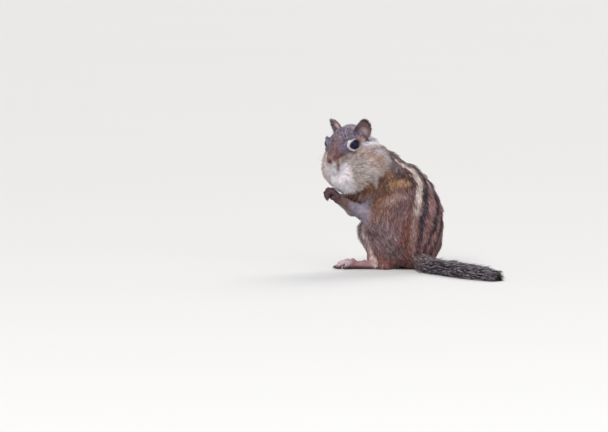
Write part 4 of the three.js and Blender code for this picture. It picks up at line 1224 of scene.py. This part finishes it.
def grow_coat(name, slot, roots, facing, seed):
    rng = np.random.default_rng(seed)
    n = len(roots)
    way, traits, weight = coat_at(roots)
    length, lift, width, _, clump, ticking = traits.T
    way = way + 0.22 * np.stack([wave(roots) for wave in swirl], axis=1)
    way = unit(way - (way * facing).sum(1, keepdims=True) * facing)
    way = unit(way + rng.normal(scale=0.13, size=(n, 1)) * np.cross(facing, way))
    length = length * rng.uniform(0.72, 1.18, n)
    lift = lift * rng.uniform(0.55, 1.5, n) * (1 + 0.25 * ruffle(roots))
    width = width * rng.uniform(0.75, 1.3, n)
    lift = lift + 0.9 * hanging_share(roots, weight) * np.maximum(-facing[:, 2], 0)
    shares = np.array([0, 0.5, 1.0])
    spine = []
    for t in shares:
        rise = length * lift * t * (1.35 - 0.62 * t) - SUNK * (1 - t)
        spine.append(roots + way * (length * t)[:, None] + facing * rise[:, None])
    heads = rng.choice(n, max(n // 9, 1), replace=False)
    own = nearest(roots[heads], roots)
    pull = (clump * rng.uniform(0.3, 1.0, n))[:, None]
    for k, t in enumerate(shares[1:], 1):
        spine[k] += pull * t**1.5 * (spine[k][heads][own] - spine[k]) * 0.8
    for k in range(1, len(spine)):
        spine[k][:, 2] = np.maximum(spine[k][:, 2], 0.3)
    clump_tone = rng.normal(size=len(heads))[own]
    tone = 1 + ticking * (0.15 * clump_tone + 0.11 * rng.normal(size=n))
    middle = roots + way * (0.45 * length)[:, None]  # a tuft shows the markings where it lies
    middle = middle + np.cross(facing, way) * (0.1 * length * rng.normal(size=n))[:, None]
    colour = coat_colour(middle, weight) * np.clip(tone, 0.4, 1.7)[:, None]
    draw = rng.uniform(size=n) + 0.14 * clump_tone
    bright = np.clip(2.6 * colour.mean(1) + 0.3, 0, 1)  # dark stripes keep dark tips
    tip = paint(TICK_PALE, colour * 1.06, 0.6 * ticking * bright * (draw > 0.66))
    tip = paint(TICK_DARK, tip, 0.6 * ticking * (draw < 0.28))
    # Each tuft darkens towards its root: partly the hair's own dark base, partly painted shade deep in the coat.
    colours = np.clip(np.stack([colour * 0.45, colour * 0.9, tip]), 0, 1)
    made = tuft_mesh(np.stack(spine), np.cross(facing, way), facing, [width * 0.8, width, width], colours, 0.45,
                     place_on_map(roots))
    points, faces, normals, shades, maps = made
    piece = mesh_of(name, points, faces, normals, shades, maps)
    return dressed(piece, FUR, slot)


swirl = [waves(21, 26), waves(22, 26), waves(23, 26)]
ruffle = waves(24, 12)

COAT_GROUPS = {
    "torso_coat": (0,),
    "neck_and_crown_coat": (1, 2, 19),
    "face_coat": (3, 4, 6),
    "full_pouch_coat": (5,),
    "left_haunch_coat": (7, 8),
    "left_arm_coat": (9, 10),
    "right_haunch_coat": (13, 14),
    "right_arm_coat": (15, 16),
    "paws_and_feet_down": (11, 12, 17, 18),
}


def make_coat():
    roots, facing = scattered(skin_points, skin_quads, skin_normals, lambda p: coat_at(p)[1][:, 3], 31)
    bare = (tail_bone(roots) < 0.6) | (roots[:, 2] < 0.6) | (np.abs(sockets(roots)) < 0.9)
    bare |= nose_pad(roots) < 0.5
    roots, facing = roots[~bare], facing[~bare]
    main = coat_at(roots)[2].argmax(1)
    total = 0
    for seed, (name, members) in enumerate(COAT_GROUPS.items()):
        mine = np.nonzero(np.isin(main, members))[0]
        parts = -(-len(mine) // TUFTS_IN_PIECE)
        order = mine[np.argsort(roots[mine][:, 2], kind="stable")]
        for k, part in enumerate(np.array_split(order, parts)):
            label = name if parts == 1 else f"{name}_{k + 1}"
            grow_coat(label, "body_coat", roots[part], facing[part], 100 + 10 * seed + k)
            total += len(part)
    print("tufts", total)


make_coat()


# The tail: long hairs in thin locks all round a slim bone, swept back along it

TAIL_HAIRS = 12000
TAIL_HAIR = 20.0  # length of a hair in the middle of the tail
TAIL_WIDE = 0.82  # how far hairs stand out sideways, as a share of their length
TAIL_HIGH = 0.44  # and upwards


def tail_frame(run):
    """Place, way, side and top of the tail at a distance along it, straight on past its end."""
    marks = np.linspace(0, TAIL_LENGTH, len(tail_line))
    inside = np.clip(run, 0, TAIL_LENGTH)
    place = np.stack([np.interp(inside, marks, tail_line[:, k]) for k in range(3)], axis=1)
    way = unit(np.stack([np.interp(inside, marks, tail_way[:, k]) for k in range(3)], axis=1))
    side = unit(np.cross(way, (0, 0, 1.0)))
    return place + way * (run - inside)[:, None], way, side, np.cross(side, way)


def tail_colour(share, ring, tone):
    """From root to tip of a hair. share is how far down the tail it grows."""
    base = smooth(0.32, 0.05, share)[:, None]
    root = paint(TAIL_BROWN, np.repeat(TAIL_DARK[None], len(share), 0), base[:, 0] + 0.25)
    if ring == 0:
        return root * 0.8 * tone
    if ring == 1:
        return (TAIL_BROWN * 0.5 + TAIL_DARK * 0.5) * (1 - base) + GREY_BROWN * base
    if ring == 2:
        return (TAIL_BAND * (1 - base) + THIGH * 0.7 * base) * tone
    return (TAIL_FROST * (1 - base) + TICK_PALE * base) * tone


def make_tail():
    rng = np.random.default_rng(41)
    n = int(TAIL_HAIRS * QUICK_SHARE)
    share = np.minimum(rng.uniform(0, 1.06, n), 1)
    end = smooth(0.86, 1, share)  # the hair closes together over the tail's end
    run = share * (TAIL_LENGTH + 1)
    around = rng.uniform(0, 2 * np.pi, n)
    length = TAIL_HAIR * smooth(-0.35, 0.3, share) * (1 - 0.24 * smooth(0.7, 1, share))
    length = length * rng.uniform(0.75, 1.12, n)
    width = rng.uniform(0.45, 0.8, n)
    stand = np.sqrt((TAIL_WIDE * np.cos(around)) ** 2 + (TAIL_HIGH * np.sin(around)) ** 2)
    stand = stand * rng.uniform(0.35 * (1 - end), 1.1) * smooth(-0.4, 0.25, share)
    lean = rng.normal(scale=0.12, size=n)
    girth = 3.4 - 1.8 * share
    steps = np.array([0, 0.3, 0.65, 1.0])
    spine, outs = [], []
    for t in steps:
        place, way, side, top = tail_frame(run + length * t * 0.93)
        turn = around + lean * t
        out = side * np.cos(turn)[:, None] + top * np.sin(turn)[:, None]
        rise = girth * (1 - 0.8 * end * t) + length * stand * t * (1 - 0.42 * t) - SUNK * 2 * (1 - t)
        spine.append(place + out * rise[:, None])
        outs.append(out)
    heads = rng.choice(n, n // 14, replace=False)
    own = nearest(spine[0][heads], spine[0])
    pull = (0.5 * rng.uniform(0.2, 1.0, n))[:, None]
    for k in range(1, 4):
        spine[k] += pull * steps[k] ** 1.3 * (spine[k][heads][own] - spine[k])
        spine[k][:, 2] = np.maximum(spine[k][:, 2], 0.35 + 0.5 * rng.uniform(size=n) ** 2)
    spine[0][:, 2] = np.maximum(spine[0][:, 2], 0.4)
    tone = 1 + 0.16 * rng.normal(size=(n, 1))
    pale = rng.uniform(size=n) + 0.15 * rng.normal(size=len(heads))[own] < 0.5
    colours = np.stack([np.clip(tail_colour(share, ring, tone), 0.005, 1) for ring in range(4)])
    colours[3][~pale] = colours[2][~pale] * 1.15
    _, way, _, _ = tail_frame(run)
    across = unit(np.cross(outs[1], way))
    patch_at = np.stack([share, around / (2 * np.pi)], axis=1) * (1 - PATCH)
    made = tuft_mesh(np.stack(spine), across, outs[1], [width * 0.7, width, width * 0.8], colours, 0.45,
                     patch_at)
    points, faces, normals, shades, maps = made
    piece = mesh_of("tail_hair", points, faces, normals, shades, maps)
    dressed(piece, FUR, "tail_coat")


make_tail()


# Small hard and bare parts: eyes, lids, ears, claws and whiskers


class Pile:
    """Gathers many small closed shapes into one mesh."""

    def __init__(self):
        self.points, self.faces, self.colours, self.size = [], [], [], 0

    def add(self, points, faces, colours=None):
        self.points.append(points)
        self.faces.append(np.array(faces) + self.size)
        self.colours.append(np.zeros((len(points), 3)) + (0.5 if colours is None else colours))
        self.size += len(points)

    def build(self, name):
        points, faces, colours = (np.concatenate(part) for part in (self.points, self.faces, self.colours))
        return mesh_of(name, points, faces, colours=colours)


def tube_faces(rings, sides, closed=False):
    """Faces between rings of points, as triangles."""
    faces = []
    for r in range(rings if closed else rings - 1):
        for s in range(sides):
            a, b = r * sides + s, r * sides + (s + 1) % sides
            c, d = ((r + 1) % rings) * sides + (s + 1) % sides, ((r + 1) % rings) * sides + s
            faces += [(a, b, c), (a, c, d)]
    return faces


def horn(path, radii, flat, sides=8, squeeze=1.0):
    """A tapered tube with closed ends. squeeze narrows it sideways, across the flat direction."""
    path = np.array(path, float)
    way = unit(np.gradient(path, axis=0))
    across = unit(np.cross(way, flat))
    over = np.cross(across, way)
    turn = np.arange(sides) * 2 * np.pi / sides
    radii = np.array(radii)[:, None, None]
    ring = np.cos(turn)[None, :, None] * across[:, None] * squeeze + np.sin(turn)[None, :, None] * over[:, None]
    points = (path[:, None] + radii * ring).reshape(-1, 3)
    count = len(path)
    start, end = count * sides, count * sides + 1
    faces = tube_faces(count, sides)
    for s in range(sides):
        after = (s + 1) % sides
        faces += [(start, after, s), (end, (count - 1) * sides + s, (count - 1) * sides + after)]
    return np.vstack([points, path[:1], path[-1:] + way[-1:] * radii[-1, 0]]), faces


def globe(centre, out, radius, rows=28, sides=44):
    """An eyeball whose cornea bulges a little, with its pole at the way that it looks."""
    ahead = unit(np.cross(out, (0, 0, 1.0)))
    over = np.cross(ahead, out)
    tilt = np.linspace(0, np.pi, rows + 1)[1:-1]
    turn = np.arange(sides) * 2 * np.pi / sides
    bulge = radius * (1 + 0.035 * smooth(0.55, 0.95, np.cos(tilt)))
    ring = np.cos(turn)[None, :, None] * ahead + np.sin(turn)[None, :, None] * over
    points = centre + (bulge * np.cos(tilt))[:, None, None] * out + (bulge * np.sin(tilt))[:, None, None] * ring
    poles = np.array([centre + out * radius * 1.035, centre - out * radius])
    count = len(tilt)
    faces = tube_faces(count, sides)
    for s in range(sides):
        after = (s + 1) % sides
        faces += [(count * sides, after, s), (count * sides + 1, (count - 1) * sides + s,
                                              (count - 1) * sides + after)]
    faces = [face[::-1] for face in faces]
    return np.vstack([points.reshape(-1, 3), poles]), faces


def facing_out(points, faces):
    """The faces of a closed shape, turned so that they face outwards."""
    faces = np.array(faces)
    a, b, c = np.moveaxis(points[faces], 1, 0)
    volume = (a * np.cross(b, c)).sum()
    return faces if volume > 0 else faces[:, ::-1]


def make_eyes():
    for name, side in SIDES.items():
        points, faces = globe(eye_centre(side), eye_axes(side)[0], EYE_RADIUS)
        # The navy blue of pupil and iris is a painted reflection of blue sky in the dark eye.
        pupil = smooth(0.62, 0.72, unit(points - eye_centre(side)) @ eye_axes(side)[0])
        colours = paint(srgb(10, 8, 46), np.repeat(srgb(24, 16, 44)[None], len(points), 0), pupil)
        piece = mesh_of(f"{name}_eye", points, facing_out(points, faces), colours=colours)
        dressed(piece, EYE, "eye", f"eye_{name}")


def lid_rims():
    """The bare dark edge of the lids, round each eye."""
    pile = Pile()
    for side in SIDES.values():
        ahead, up = lid_curve(UPPER_LID, 33)
        _, down = lid_curve(-LOWER_LID, 33)
        ahead = np.concatenate([ahead, ahead[-2:0:-1]])
        over = np.concatenate([up, down[-2:0:-1]])
        path = on_eye(side, ahead, over, lift=0.12)
        way = unit(np.roll(path, -1, axis=0) - np.roll(path, 1, axis=0))
        out = unit(path - eye_centre(side))
        across = np.cross(way, out)
        turn = np.arange(8) * 2 * np.pi / 8
        ring = np.cos(turn)[None, :, None] * across[:, None] * 0.46 + np.sin(turn)[None, :, None] * out[:, None] * 0.3
        points = (path[:, None] + ring).reshape(-1, 3)
        pile.add(points, facing_out(points, tube_faces(len(path), 8, closed=True)))
    dressed(pile.build("lid_rims"), LID, "body_coat")


def make_claws():
    pile = Pile()
    for side in SIDES.values():
        foot = foot_axes[side]
        for i in range(5):
            tip = toe_path(side, i)[-1]
            steps = [(-1.2, 0.5), (0.2, 0.75), (1.4, 0.55), (2.5, -0.2), (3.3, -1.1)]
            path = [tip + foot.direction(f, 0.05 * (i - 2) * f, u) for f, u in steps]
            path = [np.maximum(p, (-np.inf, -np.inf, 0.3)) for p in path]
            points, faces = horn(path, [0.62, 0.66, 0.52, 0.32, 0.08], foot.up, squeeze=0.7)
            pile.add(points, facing_out(points, faces))
        paw = paw_axes(side)
        for i in range(4):
            *_, before, tip = digit_path(side, i)
            ahead = unit(tip - before)
            steps = [(-0.9, 0.25), (0.2, 0.4), (1.1, 0.2), (2.0, -0.35)]
            path = [tip + ahead * f + paw.forward * u * 0.8 for f, u in steps]
            points, faces = horn(path, [0.42, 0.42, 0.3, 0.06], paw.up + paw.forward, squeeze=0.75)
            pile.add(points, facing_out(points, faces))
    dressed(pile.build("claws"), HORN, "paw_skin")


def settled(field, p, steps=4):
    """Points moved onto a field's surface."""
    for _ in range(steps):
        slope = slope_of(field, p)
        p = p - field(p)[:, None] * slope / np.maximum((slope * slope).sum(1), 0.1)[:, None]
    return p


WHISKER_LENGTH = 19.0


def make_whiskers():
    rng = np.random.default_rng(51)
    pile = Pile()
    t = np.linspace(0, 1, 9)[:, None]
    for side in SIDES.values():
        rooted = [(12.6 - 1.5 * col, side * 7, -6.6 - 1.5 * row) for row in range(3) for col in range(4)]
        brows = [(2.5, side * 8, 7), (0.5, side * 8.5, 7.5)]
        roots = settled(flesh, np.array([head.point(*place) for place in rooted + brows]))
        for i, root in enumerate(roots):
            brow = i >= len(rooted)
            col, row = i % 4, i // 4
            way = (-0.9, side * 0.5, 0.9) if brow else (0.1 - 0.25 * col, side * 1.0, 0.25 - 0.3 * row)
            way = unit(head.direction(*way) + rng.normal(scale=0.06, size=3))
            length = (8 if brow else WHISKER_LENGTH * (0.6 + 0.13 * col)) * rng.uniform(0.9, 1.1)
            bend = head.direction(-1.0, 0, -0.35) * 0.3 * length
            path = root + way * length * t + bend * t * t - way * 0.5 * (1 - t)
            radii = 0.085 * (1 - 0.8 * t[:, 0])
            points, faces = horn(path, radii, head.up, sides=4)
            pile.add(points, facing_out(points, faces))
    dressed(pile.build("whiskers"), WHISKER, "body_coat")


# Ears: thin cups with a rolled edge, downy outside and at the rim


def ear_place(side, x, y, z):
    """Points of an ear: x across it, y up it and z out of its cup."""
    middle, up, face = EAR_POSE[side]
    up, face = unit(head.direction(*up)), head.direction(*face)
    face = unit(face - (face @ up) * up)
    across = np.cross(up, face)
    base = head.point(*middle)
    return base + np.multiply.outer(x, across) + np.multiply.outer(y, up) + np.multiply.outer(z, face)


def ear_sheet(side, r, turn, back):
    """x, y and z of the cup's inner face, or of its back, by share of the way to the rim and turn."""
    front = smooth(0, 0.7, -np.cos(turn) * side) * smooth(-0.1, 0.6, np.sin(turn))
    wide = EAR_WIDTH / 2 * (1 - 0.2 * smooth(0.3, -1.0, np.sin(turn)) - 0.2 * front)
    x = wide * r * np.cos(turn)
    y = EAR_LENGTH / 2 * r * np.sin(turn)
    cup = -3.2 * (1 - r**2) ** 0.9
    roll = 0.8 * smooth(0.78, 1.0, r)
    fold = 0.5 * np.exp(-(((x + 1.6) / 1.3) ** 2) - ((y + 1.5) / 4) ** 2)
    z = cup + roll - 0.010 * y * y - 0.016 * x * x
    thickness = 0.35 + 0.95 * (1 - r**2)
    return x, y, z - (thickness if back else -fold * (1 - r**4))


EAR_RINGS, EAR_TURNS = 14, 60


def make_ears():
    for name, side in SIDES.items():
        turn = np.arange(EAR_TURNS) * 2 * np.pi / EAR_TURNS
        shares = (np.arange(EAR_RINGS) + 1) / EAR_RINGS
        rings, colours = [], []
        for back, order in ((False, shares), (True, shares[::-1])):
            for r in order:
                x, y, z = ear_sheet(side, np.full(EAR_TURNS, r), turn, back)
                if r == 1:
                    z = z + (-0.08 if back else 0.08)
                rings.append(ear_place(side, x, y, z))
                colours.append(ear_colour(side, x, y, r, back))
        points = np.concatenate(rings)
        centres = [ear_place(side, *[np.array(v) for v in ear_sheet(side, 0.0, 0.0, back)]) for back in (False, True)]
        count = len(rings)
        faces = tube_faces(count, EAR_TURNS)
        for s in range(EAR_TURNS):
            after = (s + 1) % EAR_TURNS
            faces += [(len(points), after, s), (len(points) + 1, (count - 1) * EAR_TURNS + s,
                                                (count - 1) * EAR_TURNS + after)]
        points = np.vstack([points, *[c[None] for c in centres]])
        colours = np.vstack([*colours, EAR_MIDDLE[None], EAR_DARK[None]])
        piece = mesh_of(f"{name}_ear", points, facing_out(points, faces), colours=colours)
        dressed(piece, SKIN, "ear_skin", f"ear_{name}")
    make_ear_down()


def ear_colour(side, x, y, r, back):
    """Dark on the back and along the upper rim, pale in the front of the cup, with painted shade where the ear opens.
    """
    n = len(x)
    rear = x * ear_rear(side)
    if back:
        colour = np.repeat(EAR_MIDDLE[None], n, 0)
        colour = paint(EAR_DARK, colour, 0.35 + 0.4 * smooth(2, 8, y))
        strip = smooth(-1.2, -2.0, rear) * smooth(-4.2, -3.2, rear) * smooth(5.5, 3, y)
        colour = paint(EAR_PALE, colour, 0.9 * strip * (side < 0))
        return paint(EAR_DARK, colour, smooth(0.84, 0.92, np.full(n, r)))
    colour = np.repeat(EAR_MIDDLE[None], n, 0)
    inside = np.sqrt(((rear - 1.5) / 3.6) ** 2 + ((y - 0.5) / 3.6) ** 2)
    colour = paint(EAR_PALE, colour, 0.5 * smooth(1.2, 0.4, inside))
    colour = paint(CROWN * 0.5, colour, 0.85 * smooth(-1.5, -4.5, rear + 0.2 * y))
    # Painted shade in the gap below the cup, where the ear opens.
    opening_shade = stroke(np.stack([rear, y], axis=1), [(1.4, -2.2), (4.0, -7.5)], 1.2, 0.8)
    colour = paint(srgb(50, 24, 28), colour, opening_shade)
    edge = smooth(0.84, 0.95, np.full(n, r)) * smooth(-5, 0, y + 0.4 * rear)
    return paint(EAR_DARK, colour, edge)


def ear_rear(side):
    """1 where x across the ear points to the back of the head, else -1."""
    across = ear_place(side, np.array(1.0), np.array(0.0), np.array(0.0)) - ear_place(side, *np.zeros((3,)))
    return -np.sign(across @ head.forward)


def make_ear_down():
    """Fine hair: short and dense on the back, a fringe on the rim and some at the front of the cup."""
    rng = np.random.default_rng(61)
    parts = []
    for side in SIDES.values():
        for back in (True, False):
            n = int((1500 if back else 900) * QUICK_SHARE)
            r = np.sqrt(rng.uniform(0.02, 1, n)) if back else rng.uniform(0.55, 1.0, n) ** 0.5
            turn = rng.uniform(0, 2 * np.pi, n)
            x, y, z = ear_sheet(side, r, turn, back)
            root = ear_place(side, x, y, z)
            step = 0.02
            over_r = ear_place(side, *ear_sheet(side, np.maximum(r - step, 0), turn, back))
            beside = ear_place(side, *ear_sheet(side, r, turn + step, back))
            outwards = unit(root - over_r)
            around = unit(beside - root)
            facing = unit(np.cross(outwards, around))
            face_way = ear_place(side, np.zeros(n), np.zeros(n), np.ones(n)) - ear_place(side, *np.zeros((3, n)))
            facing *= np.sign((facing * face_way).sum(1, keepdims=True)) * (-1 if back else 1)
            up_way = ear_place(side, np.zeros(n), np.ones(n), np.zeros(n)) - ear_place(side, *np.zeros((3, n)))
            way = unit(0.7 * outwards + 0.7 * up_way + rng.normal(scale=0.15, size=(n, 3)))
            length = rng.uniform(1.2, 2.2, n) * (1.0 if back else 0.85)
            lift = 0.22
            spine = [root + way * (length * t)[:, None] + facing * ((length * lift * t) - 0.12 * (1 - t))[:, None]
                     for t in (0, 0.5, 1.0)]
            width = rng.uniform(0.2, 0.34, n)
            shade = ear_colour(side, x, y, 0.7, back)
            shade = paint(EAR_PALE, shade, 0.45 * (rng.uniform(size=n) < 0.35))
            shade = shade * (1 + 0.15 * rng.normal(size=(n, 1)))
            # Each hair darkens towards its root: partly its own dark base, partly painted shade deep in the down.
            colours = np.clip(np.stack([shade * 0.7, shade, shade * 1.15]), 0, 1)
            island = np.array([0.02 if side > 0 else 0.52, 0.02 if back else 0.52])
            patch_at = island + 0.45 * np.stack([x / EAR_WIDTH + 0.5, y / EAR_LENGTH + 0.5], axis=1)
            across = unit(np.cross(facing, way))
            parts.append(tuft_mesh(np.stack(spine), across, facing, [width * 0.8, width, width], colours, 0.5,
                                   patch_at))
    sizes = np.cumsum([0] + [len(part[0]) for part in parts])
    faces = np.concatenate([part[1] + start for part, start in zip(parts, sizes)])
    points, normals, shades, maps = (np.concatenate([part[k] for part in parts]) for k in (0, 2, 3, 4))
    dressed(mesh_of("ear_down", points, faces, normals, shades, maps), FUR, "ear_skin")


make_eyes()
lid_rims()
make_ears()
make_claws()
make_whiskers()

# Floor, light and camera


def floor_material():
    material, tree, shader = nodes_of("floor_paint")
    noise = noise_node(tree, 2)
    ramp = ramp_node(tree, noise.outputs["Fac"], [(0.2, 0.638), (0.8, 0.645)])
    tree.links.new(ramp.outputs["Color"], shader.inputs["Base Color"])
    shader.inputs["Roughness"].default_value = 0.85
    return material


def make_floor(half=30.0):
    mesh = bpy.data.meshes.new("floor")
    mesh.from_pydata([(-half, -half, 0), (half, -half, 0), (half, half, 0), (-half, half, 0)], [], [(0, 1, 2, 3)])
    made = bpy.data.objects.new("floor", mesh)
    bpy.context.scene.collection.objects.link(made)
    mesh.materials.append(floor_material())
    made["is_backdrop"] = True


def area_light(name, place, size, power, colour=(1, 1, 1)):
    lamp = bpy.data.lights.new(name, "AREA")
    lamp.size, lamp.energy, lamp.color = size, power, colour
    made = bpy.data.objects.new(name, lamp)
    bpy.context.scene.collection.objects.link(made)
    made.location = place
    made.rotation_euler = (Vector((0, 0, 0.05)) - Vector(place)).to_track_quat("-Z", "Y").to_euler()


def soft_sun(name, place, spread, power, colour=(1, 1, 1)):
    lamp = bpy.data.lights.new(name, "SUN")
    lamp.angle, lamp.energy, lamp.color = np.radians(spread), power, colour
    made = bpy.data.objects.new(name, lamp)
    bpy.context.scene.collection.objects.link(made)
    made.rotation_euler = (-Vector(place)).to_track_quat("-Z", "Y").to_euler()


def make_light():
    soft_sun("key", (-0.6, -1.0, 1.5), 30, 2.1, (1, 0.97, 0.93))
    soft_sun("rim", (0.6, 1.1, 1.1), 35, 1.3, (1, 0.96, 0.9))
    area_light("fill", (0.9, -1.3, 0.5), 1.0, 5, (0.92, 0.95, 1))
    area_light("catch", (-0.5, -1.2, 0.9), 0.14, 2.5)
    world = bpy.data.worlds.new("studio")
    bpy.context.scene.world = world
    world.use_nodes = True
    world.node_tree.nodes["Background"].inputs[0].default_value = (0.93, 0.95, 1, 1)
    world.node_tree.nodes["Background"].inputs[1].default_value = 0.5
    bpy.context.scene.view_settings.view_transform = "Standard"


# The camera stands as the photograph's did. ANCHOR is the ground under the body's middle.
PHOTO_WIDTH, PHOTO_HEIGHT = 608, 432
MM_PER_PIXEL = 0.76
ANCHOR_X, ANCHOR_Y = 400, 268.4  # that place in the photograph, in pixels
CAMERA_LIFT = 5  # degrees
LENS, SENSOR = 200, 36


def make_camera():
    lift = np.radians(CAMERA_LIFT)
    back, up = np.array([0, -np.cos(lift), np.sin(lift)]), np.array([0, np.sin(lift), np.cos(lift)])
    across = (PHOTO_WIDTH / 2 - ANCHOR_X) * MM_PER_PIXEL
    above = (ANCHOR_Y - PHOTO_HEIGHT / 2) * MM_PER_PIXEL
    target = SHIFT + np.array([across, 0, 0]) + up * above
    distance = PHOTO_WIDTH * MM_PER_PIXEL * LENS / SENSOR
    data = bpy.data.cameras.new("camera")
    data.lens, data.sensor_width, data.clip_end = LENS, SENSOR, 100
    made = bpy.data.objects.new("camera", data)
    bpy.context.scene.collection.objects.link(made)
    made.location = Vector((target + back * distance) * MM)
    made.rotation_euler = Vector(-back).to_track_quat("-Z", "Y").to_euler()
    bpy.context.scene.camera = made


make_floor()
make_light()
make_camera()

corners = [[list(corner) for corner in box] for box in (cad_box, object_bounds())]
